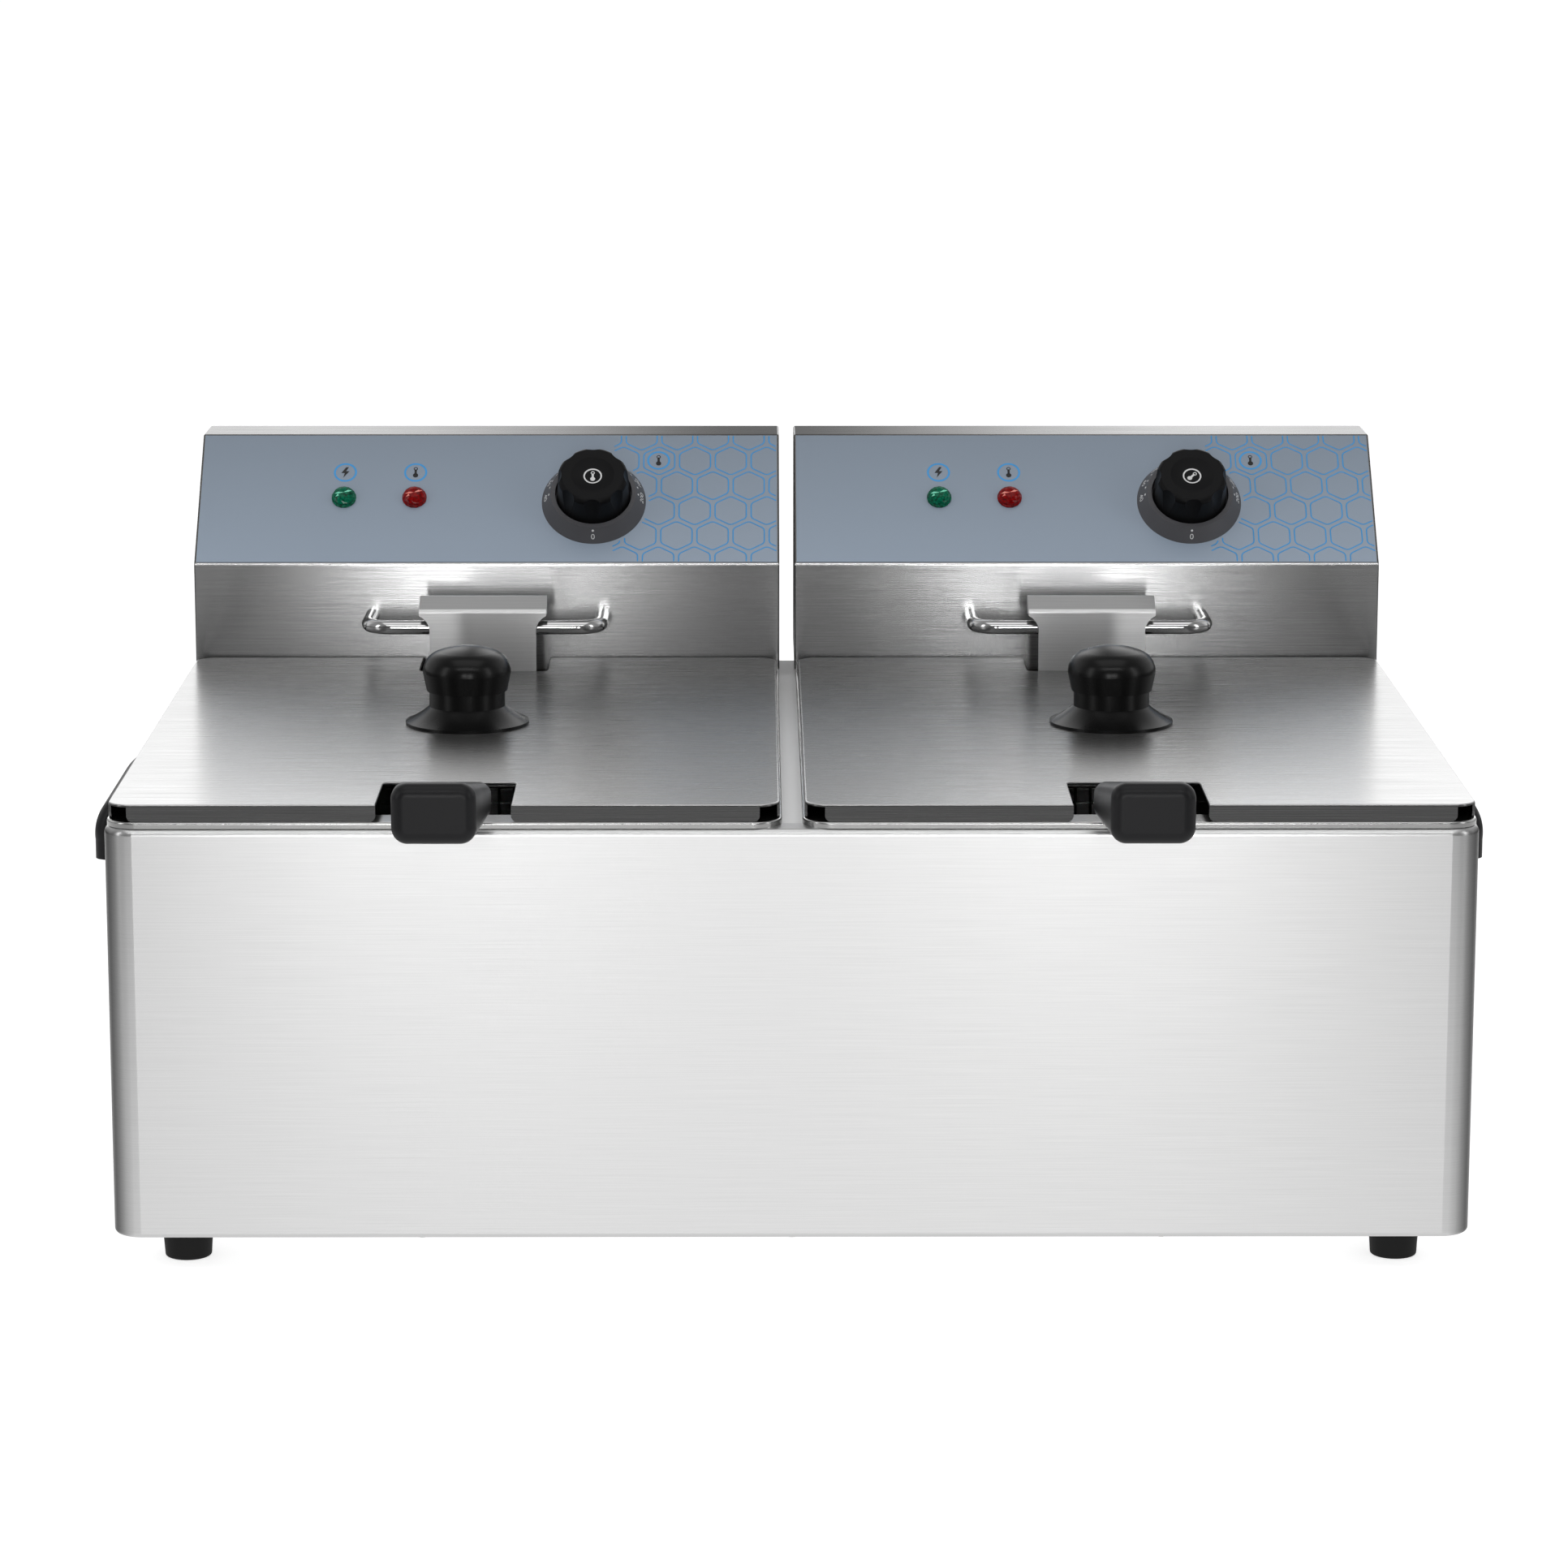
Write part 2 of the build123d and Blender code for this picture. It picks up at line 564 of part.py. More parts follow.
# Head housing: folded front, sloping panel, top and back with side cheeks, open below
with BuildPart() as head_housing:
    with BuildSketch(Plane.YZ.offset(-head_width / 2)):
        with BuildLine():
            Polyline(
                (head_front_y, head_bottom),
                (head_front_y, fold_z),
                (head_front_y + PANEL_RUN, head_top),
                (back_y, head_top),
                (back_y, head_bottom),
                close=True,
            )
        make_face()
    extrude(amount=head_width)
    folds = head_housing.edges().filter_by(Axis.X)
    fillet(folds.filter_by_position(Axis.Z, fold_z - HEAD_SHEET, head_top + HEAD_SHEET), HEAD_BEND)
    cheeks = head_housing.faces().filter_by(Axis.X).edges()
    above_base = cheeks.filter_by_position(Axis.Z, head_bottom + HEAD_SHEET, head_top + HEAD_SHEET)
    fillet(above_base, HEAD_EDGE_ROUND)
    offset(amount=-HEAD_SHEET, openings=head_housing.faces().sort_by(Axis.Z)[0])
    with BuildSketch(panel_plane):
        with Locations((GREEN_LAMP_X, 0), (RED_LAMP_X, 0)):
            Circle(LAMP_BARREL_RADIUS + LAMP_FIT)
        with Locations((DIAL_X, DIAL_Y)):
            Circle(BUSH_RADIUS + BUSH_FIT)
    extrude(amount=-2 * HEAD_SHEET, mode=Mode.SUBTRACT)
    with BuildSketch(Plane.XZ.offset(-back_y)):
        with Locations((GLAND_X, fitting_z)):
            Circle(GLAND_STUB_RADIUS + BUSH_FIT)
        with Locations((RESET_X, fitting_z)):
            Circle(LIMIT_BUSH_RADIUS + BUSH_FIT)
    extrude(amount=2 * HEAD_SHEET, mode=Mode.SUBTRACT)
write_pair(head_housing.part, "head_housing")

# Head base: closes the housing, carries the element and stands on the ledge behind the tank
with BuildPart() as head_base:
    base_width = head_width - 2 * HEAD_SHEET - 2 * HEAD_BASE_FIT
    base_depth = head_depth - 2 * HEAD_SHEET - 2 * HEAD_BASE_FIT
    stand_y = back_y - HEAD_STAND_FROM_BACK
    with BuildSketch(Plane.XY.offset(head_bottom)):
        with Locations((0, head_front_y + head_depth / 2)):
            Rectangle(base_width, base_depth)
        with Locations((-ELEMENT_LEG_X, leg_y), (ELEMENT_LEG_X, leg_y)):
            Circle(ELEMENT_RADIUS + ELEMENT_FIT, mode=Mode.SUBTRACT)
        with Locations((capillary_x, leg_y)):
            Circle(CAPILLARY_RADIUS + CAPILLARY_FIT, mode=Mode.SUBTRACT)
    extrude(amount=HEAD_BASE_SHEET)
    with BuildSketch(Plane.XY.offset(deck_z)):
        with Locations((0, stand_y)):
            Rectangle(base_width, HEAD_BASE_SHEET)
    extrude(amount=head_bottom - deck_z)
write_pair(head_base.part, "head_base")

# Panel film: printed overlay on the sloping panel
with BuildPart() as panel_film:
    with BuildSketch(panel_plane):
        Rectangle(head_width - 2 * FILM_MARGIN, panel_length - 2 * FILM_MARGIN)
        with Locations((GREEN_LAMP_X, 0), (RED_LAMP_X, 0)):
            Circle(LAMP_BARREL_RADIUS + LAMP_FIT, mode=Mode.SUBTRACT)
        with Locations((DIAL_X, DIAL_Y)):
            Circle(BUSH_RADIUS + BUSH_FIT, mode=Mode.SUBTRACT)
    extrude(amount=FILM_THICKNESS)
write_pair(panel_film.part, "panel_film")

# Rest rod: bent wire welded to the front of the head, on which the basket hangs by its hook
with BuildPart() as rest_rod:
    rod_x = ROD_WIDTH / 2 - ROD_RADIUS
    with BuildLine() as rod_line:
        FilletPolyline(
            (-rod_x, head_front_y, rod_z),
            (-rod_x, rod_y, rod_z),
            (rod_x, rod_y, rod_z),
            (rod_x, head_front_y, rod_z),
            radius=ROD_CORNER,
        )
    with BuildSketch(Plane(origin=rod_line.line @ 0, z_dir=rod_line.line % 0)):
        Circle(ROD_RADIUS)
    sweep(path=rod_line.line)
write_pair(rest_rod.part, "rest_rod")

# Indicator lamps: a domed lens with its collar on the film and its barrel through the panel
for lamp_name, lamp_x in {"green_lamp": GREEN_LAMP_X, "red_lamp": RED_LAMP_X}.items():
    lamp_plane = Plane(origin=film_top.from_local_coords((lamp_x, 0, 0)), x_dir=(1, 0, 0), z_dir=(0, -1, 1))
    with BuildPart() as lamp:
        with BuildSketch(lamp_plane):
            Circle(LAMP_RADIUS)
        extrude(amount=LAMP_COLLAR + LAMP_DOME)
        fillet(lamp.faces().sort_by(Axis(lamp_plane.origin, lamp_plane.z_dir))[-1].edges(), LAMP_DOME)
        with BuildSketch(lamp_plane):
            Circle(LAMP_BARREL_RADIUS)
        extrude(amount=-LAMP_BARREL_LENGTH)
    write_pair(lamp.part, lamp_name)

# Dial ring: fixed conical bezel with the printed scale, recessed for the knob
with BuildPart() as dial_ring:
    with BuildSketch(dial_plane):
        Circle(DIAL_RING_RADIUS)
    with BuildSketch(dial_plane.offset(DIAL_RING_HEIGHT)):
        Circle(DIAL_RING_TOP_RADIUS)
    loft()
    with BuildSketch(dial_plane.offset(DIAL_RING_FLOOR)):
        Circle(DIAL_KNOB_RADIUS + DIAL_KNOB_GAP)
    extrude(amount=DIAL_RING_HEIGHT, mode=Mode.SUBTRACT)
    with BuildSketch(dial_plane):
        Circle(BUSH_RADIUS + BUSH_FIT)
    extrude(amount=DIAL_RING_HEIGHT, mode=Mode.SUBTRACT)
write_pair(dial_ring.part, "dial_ring")

# Thermostat: body behind the panel with the bush that carries the shaft
with BuildPart() as thermostat:
    bush_length = HEAD_SHEET + FILM_THICKNESS + DIAL_RING_FLOOR
    with BuildSketch(panel_back):
        with Locations((DIAL_X, DIAL_Y)):
            Rectangle(THERMOSTAT_WIDTH, THERMOSTAT_LENGTH)
    extrude(amount=-THERMOSTAT_DEPTH)
    with BuildSketch(panel_back):
        with Locations((DIAL_X, DIAL_Y)):
            Circle(BUSH_RADIUS)
    extrude(amount=bush_length)
    with BuildSketch(panel_back.offset(bush_length)):
        with Locations((DIAL_X, DIAL_Y)):
            Circle(SHAFT_RADIUS + SHAFT_FIT)
    extrude(amount=-bush_length - SHAFT_IN_THERMOSTAT, mode=Mode.SUBTRACT)
write_pair(thermostat.part, "thermostat")

# Dial shaft and knob: a flatted shaft from the thermostat and a fluted knob, which turn together
knob_plane = dial_plane.offset(DIAL_RING_FLOOR + DIAL_KNOB_GAP)
knob_top = knob_plane.offset(DIAL_KNOB_HEIGHT)
flute_circle = DIAL_KNOB_RADIUS + DIAL_FLUTE_RADIUS + DIAL_FLUTE_CLEAR
dish_sphere = (DIAL_DISH_RADIUS**2 + DIAL_DISH_DEPTH**2) / (2 * DIAL_DISH_DEPTH)
shaft_start = -HEAD_SHEET - FILM_THICKNESS - SHAFT_IN_THERMOSTAT
shaft_length = DIAL_RING_FLOOR + DIAL_KNOB_GAP + SHAFT_IN_KNOB - shaft_start
with BuildPart() as dial_shaft:
    with BuildSketch(dial_plane.offset(shaft_start)):
        Circle(SHAFT_RADIUS)
    extrude(amount=shaft_length)
    with BuildSketch(knob_plane):
        with Locations((0, SHAFT_RADIUS)):
            Rectangle(2 * SHAFT_RADIUS, 2 * SHAFT_FLAT)
    extrude(amount=SHAFT_IN_KNOB, mode=Mode.SUBTRACT)
with BuildPart() as dial_knob:
    with BuildSketch(knob_plane):
        Circle(DIAL_KNOB_RADIUS)
    extrude(amount=DIAL_KNOB_HEIGHT, taper=DIAL_KNOB_TAPER)
    fillet(dial_knob.faces().sort_by(Axis(knob_plane.origin, knob_plane.z_dir))[-1].edges(), DIAL_KNOB_ROUND)
    # The flutes open out towards the top
    with BuildSketch(knob_plane):
        with PolarLocations(flute_circle, DIAL_LOBES, start_angle=DIAL_FLUTE_START):
            Circle(DIAL_FLUTE_RADIUS)
    extrude(amount=DIAL_KNOB_HEIGHT, taper=-DIAL_FLUTE_SPREAD, mode=Mode.SUBTRACT)
    with Locations(knob_top.offset(dish_sphere - DIAL_DISH_DEPTH)):
        Sphere(dish_sphere, mode=Mode.SUBTRACT)
    with BuildSketch(knob_plane):
        Circle(SHAFT_RADIUS)
        with Locations((0, SHAFT_RADIUS)):
            Rectangle(2 * SHAFT_RADIUS, 2 * SHAFT_FLAT, mode=Mode.SUBTRACT)
    extrude(amount=SHAFT_IN_KNOB, mode=Mode.SUBTRACT)
for side, x in SIDES.items():
    for piece, piece_name in ((dial_shaft, "dial_shaft"), (dial_knob, "dial_knob")):
        at_rest = piece.part.rotate(Axis(dial_plane.origin, dial_plane.z_dir), -DIAL_REST_TURNS[side])
        write(Pos(x, 0, 0) * at_rest, f"{side}_{piece_name}")

# Heating element: one bent tube, from the head down the tank's back, over its floor and up again
with BuildPart() as heating_element:
    terminal_z = head_base_top + ELEMENT_TERMINAL
    run_front_y = tank_front_y + ELEMENT_FRONT_CLEAR
    run_back_y = leg_y - ELEMENT_BACK_RUN
    with BuildLine() as element_line:
        FilletPolyline(
            (-ELEMENT_LEG_X, leg_y, terminal_z),
            (-ELEMENT_LEG_X, leg_y, element_z),
            (-ELEMENT_LEG_X, run_front_y, element_z),
            (-ELEMENT_RUN_X, run_front_y, element_z),
            (-ELEMENT_RUN_X, run_back_y, element_z),
            (ELEMENT_RUN_X, run_back_y, element_z),
            (ELEMENT_RUN_X, run_front_y, element_z),
            (ELEMENT_LEG_X, run_front_y, element_z),
            (ELEMENT_LEG_X, leg_y, element_z),
            (ELEMENT_LEG_X, leg_y, terminal_z),
            radius=[ELEMENT_LEG_BEND] + [ELEMENT_BEND] * ELEMENT_FLOOR_BENDS + [ELEMENT_LEG_BEND],
        )
    with BuildSketch(Plane(origin=element_line.line @ 0, z_dir=element_line.line % 0)):
        Circle(ELEMENT_RADIUS)
    sweep(path=element_line.line)
    with BuildSketch(Plane.XY.offset(head_bottom)):
        with Locations((-ELEMENT_LEG_X, leg_y), (ELEMENT_LEG_X, leg_y)):
            Circle(collar_radius)
    extrude(amount=-ELEMENT_COLLAR_HEIGHT)
write_pair(heating_element.part, "heating_element")

# Thermostat bulb, strapped along one leg of the element, with its capillary up into the thermostat
with BuildPart() as thermostat_bulb:
    bulb_z = element_z + BULB_ABOVE_ELEMENT
    thermostat_mid = panel_back.from_local_coords((DIAL_X, DIAL_Y, -THERMOSTAT_DEPTH / 2))
    capillary_z = thermostat_mid.Z + CAPILLARY_RISE
    with BuildSketch(Plane.XY.offset(bulb_z)):
        with Locations((capillary_x, leg_y)):
            Circle(BULB_RADIUS)
    extrude(amount=BULB_LENGTH)
    with BuildLine() as capillary_line:
        FilletPolyline(
            (capillary_x, leg_y, bulb_z + BULB_LENGTH),
            (capillary_x, leg_y, capillary_z),
            (DIAL_X + THERMOSTAT_WIDTH / 2, leg_y, capillary_z),
            radius=CAPILLARY_BEND,
        )
    with BuildSketch(Plane.XY.offset(bulb_z + BULB_LENGTH)):
        with Locations((capillary_x, leg_y)):
            Circle(CAPILLARY_RADIUS)
    sweep(path=capillary_line.line)
write_pair(thermostat_bulb.part, "thermostat_bulb")

# Limit thermostat behind the head's back, with the bush that guides its reset button
with BuildPart() as limit_switch:
    with BuildSketch(Plane.XZ.offset(-inner_back_y)):
        with Locations((RESET_X, fitting_z)):
            Rectangle(LIMIT_WIDTH, LIMIT_HEIGHT)
    extrude(amount=LIMIT_DEPTH)
    with BuildSketch(Plane.XZ.offset(-inner_back_y)):
        with Locations((RESET_X, fitting_z)):
            Circle(LIMIT_BUSH_RADIUS)
    extrude(amount=-HEAD_SHEET - LIMIT_BUSH_PROUD)
    with BuildSketch(Plane.XZ.offset(-back_y - LIMIT_BUSH_PROUD)):
        with Locations((RESET_X, fitting_z)):
            Circle(RESET_RADIUS + RESET_FIT)
    extrude(amount=LIMIT_BUSH_PROUD + HEAD_SHEET + RESET_SEAT + RESET_TRAVEL, mode=Mode.SUBTRACT)
write_pair(limit_switch.part, "limit_switch")

# Reset button of the limit thermostat
with BuildPart() as reset_button:
    with BuildSketch(Plane.XZ.offset(-inner_back_y + RESET_SEAT)):
        with Locations((RESET_X, fitting_z)):
            Circle(RESET_RADIUS)
    extrude(amount=-RESET_SEAT - HEAD_SHEET - LIMIT_BUSH_PROUD - RESET_PROUD)
write_pair(reset_button.part, "reset_button")

# Cable gland on the head's back
with BuildPart() as cable_gland:
    with BuildSketch(Plane.XZ.offset(-inner_back_y + GLAND_STUB)):
        with Locations((GLAND_X, fitting_z)):
            Circle(GLAND_STUB_RADIUS)
    extrude(amount=-GLAND_STUB - HEAD_SHEET)
    with BuildSketch(Plane.XZ.offset(-back_y)):
        with Locations((GLAND_X, fitting_z)):
            Circle(GLAND_FLANGE_RADIUS)
    extrude(amount=-GLAND_FLANGE)
    with BuildSketch(Plane.XZ.offset(-back_y)):
        with Locations((GLAND_X, fitting_z)):
            Circle(GLAND_NOSE_RADIUS)
    extrude(amount=-GLAND_REACH)
    with BuildSketch(Plane.XZ.offset(-back_y - GLAND_REACH)):
        with Locations((GLAND_X, fitting_z)):
            Circle(GLAND_BORE_RADIUS)
    extrude(amount=GLAND_REACH + HEAD_SHEET + GLAND_STUB, mode=Mode.SUBTRACT)
write_pair(cable_gland.part, "cable_gland")

# Terminal block on the head's base
with BuildPart() as terminal_block:
    terminal_y = head_front_y + head_depth / 2
    with BuildSketch(Plane.XY.offset(head_base_top)):
        with Locations((TERMINAL_X, terminal_y)):
            Rectangle(TERMINAL_LENGTH, TERMINAL_WIDTH)
    extrude(amount=TERMINAL_HEIGHT)
    with BuildSketch(Plane.XY.offset(head_base_top + TERMINAL_HEIGHT)):
        with Locations((TERMINAL_X, terminal_y)):
            with GridLocations(TERMINAL_LENGTH / TERMINAL_POLES, TERMINAL_WIDTH / 2, TERMINAL_POLES, 2):
                Circle(TERMINAL_WELL_RADIUS)
    extrude(amount=-TERMINAL_WELL_DEPTH, mode=Mode.SUBTRACT)
write_pair(terminal_block.part, "terminal_block")

# Basket rim wire
rim_wire_width = BASKET_WIDTH - 2 * RIM_WIRE_RADIUS
rim_wire_length = basket_length - 2 * RIM_WIRE_RADIUS
with BuildPart() as basket_frame:
    with BuildSketch(Plane.XY.offset(basket_rim_z)) as rim_outline:
        with Locations((0, basket_mid_y)):
            RectangleRounded(rim_wire_width, rim_wire_length, BASKET_CORNER)
    rim_line = rim_outline.sketch.faces()[0].outer_wire()
    with BuildSketch(Plane(origin=rim_line @ 0, z_dir=rim_line % 0)) as rim_section:
        Circle(RIM_WIRE_RADIUS)
    sweep(sections=rim_section.sketch, path=rim_line, clean=False)
write_pair(basket_frame.part, "basket_frame")


def wire_row(length, height):
    """Draws one layer of a welded mesh: parallel wires along the height, joined by an edge wire all round."""
    gaps = int((length - 2 * MESH_EDGE + MESH_WIRE) // MESH_PITCH)
    pitch = (length - 2 * MESH_EDGE + MESH_WIRE) / gaps
    Rectangle(length, height)
    with GridLocations(pitch, 0, gaps, 1):
        Rectangle(pitch - MESH_WIRE, height - 2 * MESH_EDGE, mode=Mode.SUBTRACT)


# Basket floor: welded mesh, with the cross wires laid on the long wires
wall_top = basket_rim_z - RIM_WIRE_RADIUS
mesh_thickness = 2 * MESH_WIRE + MESH_LAYER_GAP
wall_bottom = basket_floor_z + mesh_thickness
wall_height = wall_top - wall_bottom
floor_width = rim_wire_width + mesh_thickness
floor_length = rim_wire_length + mesh_thickness
with BuildPart() as basket_floor:
    with BuildSketch(Plane(origin=(0, basket_mid_y, basket_floor_z))):
        wire_row(floor_width, floor_length)
    extrude(amount=MESH_WIRE)
    with BuildSketch(Plane(origin=(0, basket_mid_y, wall_bottom), x_dir=(0, 1, 0))):
        wire_row(floor_length, floor_width)
    extrude(amount=-MESH_WIRE)
write_pair(basket_floor.part, "basket_floor")

# Basket walls: four panels of welded mesh that stand on the floor's edge under the rim wire
side_length = floor_length - 2 * mesh_thickness - 2 * MESH_LAYER_GAP
wall_mid_z = (wall_top + wall_bottom) / 2
front_wall_y = basket_mid_y - floor_length / 2
back_wall_y = basket_mid_y + floor_length / 2
side_wall_x = floor_width / 2
wall_panels = (
    (floor_width, Plane((0, front_wall_y, wall_mid_z), x_dir=(1, 0, 0), z_dir=(0, -1, 0))),
    (floor_width, Plane((0, back_wall_y, wall_mid_z), x_dir=(-1, 0, 0), z_dir=(0, 1, 0))),
    (side_length, Plane((-side_wall_x, basket_mid_y, wall_mid_z), x_dir=(0, -1, 0), z_dir=(-1, 0, 0))),
    (side_length, Plane((side_wall_x, basket_mid_y, wall_mid_z), x_dir=(0, 1, 0), z_dir=(1, 0, 0))),
)
with BuildPart() as basket_walls:
    for panel_width, wall_plane in wall_panels:
        with BuildSketch(wall_plane):
            wire_row(panel_width, wall_height)
        extrude(amount=-MESH_WIRE)
        inner_layer = wall_plane.offset(-mesh_thickness)
        with BuildSketch(Plane(origin=inner_layer.origin, x_dir=inner_layer.y_dir, z_dir=inner_layer.z_dir)):
            wire_row(wall_height, panel_width)
        extrude(amount=MESH_WIRE)
write_pair(basket_walls.part, "basket_walls")

# Basket hook: flanged sheet strap up the basket's back, widened to a wing that folds over the rest rod
fold_slope = math.radians(HOOK_FOLD_ANGLE)
hook_mid_y = hook_front_y + HOOK_SHEET / 2
fold_distance = ROD_RADIUS + HOOK_OVER_ROD + HOOK_SHEET / 2
fold_from_z = rod_z + (fold_distance - (rod_y - hook_mid_y) * math.sin(fold_slope)) / math.cos(fold_slope)
fold_to_y = hook_mid_y + HOOK_FOLD_RUN * math.cos(fold_slope)
fold_to_z = fold_from_z + HOOK_FOLD_RUN * math.sin(fold_slope)
hook_bottom = basket_rim_z - HOOK_TAIL
wing_z = fold_from_z - HOOK_WING_DROP
neck_x = HOOK_WIDTH / 2
wing_x = HOOK_WING_WIDTH / 2
shoulder_turn = math.acos(1 - (wing_x - neck_x) / HOOK_SHOULDER)
neck_z = wing_z - HOOK_SHOULDER * math.sin(shoulder_turn)
flange_depth = HOOK_SHEET + HOOK_ROD_GAP - HOOK_FLANGE_CLEAR
with BuildPart() as basket_hook:
    with BuildSketch(Plane.YZ):
        with BuildLine():
            FilletPolyline(
                (hook_mid_y, hook_bottom),
                (hook_mid_y, fold_from_z),
                (fold_to_y, fold_to_z),
                (fold_to_y, fold_to_z - HOOK_LIP),
                radius=HOOK_BEND,
            )
        trace(line_width=HOOK_SHEET)
    extrude(amount=wing_x, both=True)
    # The strap is cut back below the wing, with a curved shoulder on each side
    with BuildSketch(Plane.XZ.offset(-hook_front_y)):
        with BuildLine():
            Line((neck_x, hook_bottom), (neck_x, neck_z))
            CenterArc(
                (neck_x + HOOK_SHOULDER, neck_z), HOOK_SHOULDER, start_angle=180, arc_size=-math.degrees(shoulder_turn)
            )
            Polyline(
                (wing_x, wing_z), (HOOK_WING_WIDTH, wing_z), (HOOK_WING_WIDTH, hook_bottom), (neck_x, hook_bottom)
            )
        make_face()
        mirror(about=Plane.YZ)
    extrude(amount=-HOOK_SHEET, mode=Mode.SUBTRACT)
    with BuildSketch(Plane.XY.offset(hook_bottom)):
        flange_x = (HOOK_WIDTH - HOOK_SHEET) / 2
        with Locations((-flange_x, hook_front_y), (flange_x, hook_front_y)):
            Rectangle(HOOK_SHEET, flange_depth, align=(Align.CENTER, Align.MIN))
    extrude(amount=neck_z - hook_bottom)
write_pair(basket_hook.part, "basket_hook")

# Basket grip and the two wires that carry it through the lid's front notch
grip_front_y = front_y - GRIP_REACH
grip_rear_y = grip_front_y + GRIP_LENGTH
grip_front_z = lid_top + GRIP_FRONT_ABOVE_LID
grip_rear_z = lid_top + GRIP_REAR_ABOVE_LID
grip_axis = Vector(0, GRIP_LENGTH, grip_rear_z - grip_front_z).normalized()
stay_y = basket_front_y - STAY_RADIUS
stay_end = Vector(0, grip_rear_y, grip_rear_z) - grip_axis * STAY_IN_GRIP
stay_knee = Vector(0, grip_rear_y, grip_rear_z) + grip_axis * ((stay_y - grip_rear_y) / grip_axis.Y)
with BuildPart() as handle_stay:
    for stay_x in (-STAY_SPACING / 2, STAY_SPACING / 2):
        with BuildLine() as stay_line:
            FilletPolyline(
                (stay_x, stay_end.Y, stay_end.Z),
                (stay_x, stay_knee.Y, stay_knee.Z),
                (stay_x, stay_y, basket_rim_z - STAY_TAIL),
                radius=STAY_BEND,
            )
        with BuildSketch(Plane(origin=stay_line.line @ 0, z_dir=stay_line.line % 0)) as stay_section:
            Circle(STAY_RADIUS)
        sweep(sections=stay_section.sketch, path=stay_line.line)
write_pair(handle_stay.part, "handle_stay")
with BuildPart() as basket_grip:
    with BuildSketch(Plane(origin=(0, grip_front_y, grip_front_z), x_dir=(1, 0, 0), z_dir=(0, 1, 0))):
        RectangleRounded(GRIP_FRONT_WIDTH, GRIP_FRONT_HEIGHT, GRIP_FRONT_CORNER)
    with BuildSketch(Plane(origin=(0, grip_rear_y, grip_rear_z), x_dir=(1, 0, 0), z_dir=(0, 1, 0))):
        RectangleRounded(GRIP_REAR_WIDTH, GRIP_REAR_HEIGHT, GRIP_REAR_CORNER)
    loft()
    fillet(basket_grip.faces().sort_by(Axis.Y)[0].edges(), GRIP_NOSE_ROUND)
    with BuildSketch(Plane(origin=stay_end, x_dir=(1, 0, 0), z_dir=grip_axis)):
        with Locations((-STAY_SPACING / 2, 0), (STAY_SPACING / 2, 0)):
            Circle(STAY_RADIUS + GRIP_FIT)
    extrude(amount=2 * STAY_IN_GRIP, mode=Mode.SUBTRACT)
write_pair(basket_grip.part, "basket_grip")
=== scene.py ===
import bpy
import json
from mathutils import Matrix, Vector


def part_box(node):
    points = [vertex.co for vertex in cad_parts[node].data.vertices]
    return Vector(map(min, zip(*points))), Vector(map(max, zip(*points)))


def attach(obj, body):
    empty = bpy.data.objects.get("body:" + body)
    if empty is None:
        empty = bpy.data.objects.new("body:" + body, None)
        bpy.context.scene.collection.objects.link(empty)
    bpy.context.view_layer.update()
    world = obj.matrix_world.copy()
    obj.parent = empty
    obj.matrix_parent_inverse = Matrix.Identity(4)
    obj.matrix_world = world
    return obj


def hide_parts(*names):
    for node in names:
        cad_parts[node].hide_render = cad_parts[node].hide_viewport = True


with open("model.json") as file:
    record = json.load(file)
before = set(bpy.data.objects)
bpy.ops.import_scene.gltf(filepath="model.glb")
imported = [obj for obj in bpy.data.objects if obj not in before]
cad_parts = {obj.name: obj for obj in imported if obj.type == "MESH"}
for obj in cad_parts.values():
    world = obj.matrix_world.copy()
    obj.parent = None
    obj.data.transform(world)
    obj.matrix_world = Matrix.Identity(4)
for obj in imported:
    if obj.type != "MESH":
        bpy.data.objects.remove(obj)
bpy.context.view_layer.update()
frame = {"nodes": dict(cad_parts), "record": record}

import json
import math
from functools import partial

import bmesh
import bpy
from mathutils import Matrix, Vector

# Twin-tank countertop deep fryer. The metal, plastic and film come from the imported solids; this script
# gives them their finishes and adds the printed signs, honeycomb print, dial numbers, faceted lamps,
# screws and fine basket wire. Lengths are in metres, and in millimetres where something is drawn flat.
MM = 0.001
SIDES = ("left", "right")
DIAL_TURN = {"left": 0.0, "right": 45.0}
UP_SLOPE = Vector((0, 1, 1)).normalized()
OFF_SLOPE = Vector((0, -1, 1)).normalized()
nodes = frame["nodes"]


# Small helpers for node trees and meshes

def add(tree, kind, inputs=None, **settings):
    """Adds a node; an input may be a plain value or another node's output socket."""
    node = tree.nodes.new(kind)
    for name, value in settings.items():
        setattr(node, name, value)
    for name, value in (inputs or {}).items():
        if isinstance(value, bpy.types.NodeSocket):
            tree.links.new(value, node.inputs[name])
        else:
            node.inputs[name].default_value = value
    return node


def shader(name, values):
    """A material with one Principled shader; constant values go straight on its sockets."""
    material = bpy.data.materials.new(name)
    material.use_nodes = True
    surface = material.node_tree.nodes["Principled BSDF"]
    for socket, value in values.items():
        surface.inputs[socket].default_value = value
    return material, material.node_tree, surface


def object_place(tree):
    return add(tree, "ShaderNodeTexCoord").outputs["Object"]


def split(tree, vector):
    """A vector's X, Y and Z."""
    return add(tree, "ShaderNodeSeparateXYZ", {0: vector}).outputs


def join(tree, **axes):
    """A vector from its X, Y and Z."""
    return add(tree, "ShaderNodeCombineXYZ", axes).outputs[0]


def calc(tree, operation, first, second=0.0):
    """One step of arithmetic on numbers or sockets."""
    return add(tree, "ShaderNodeMath", {0: first, 1: second}, operation=operation).outputs[0]


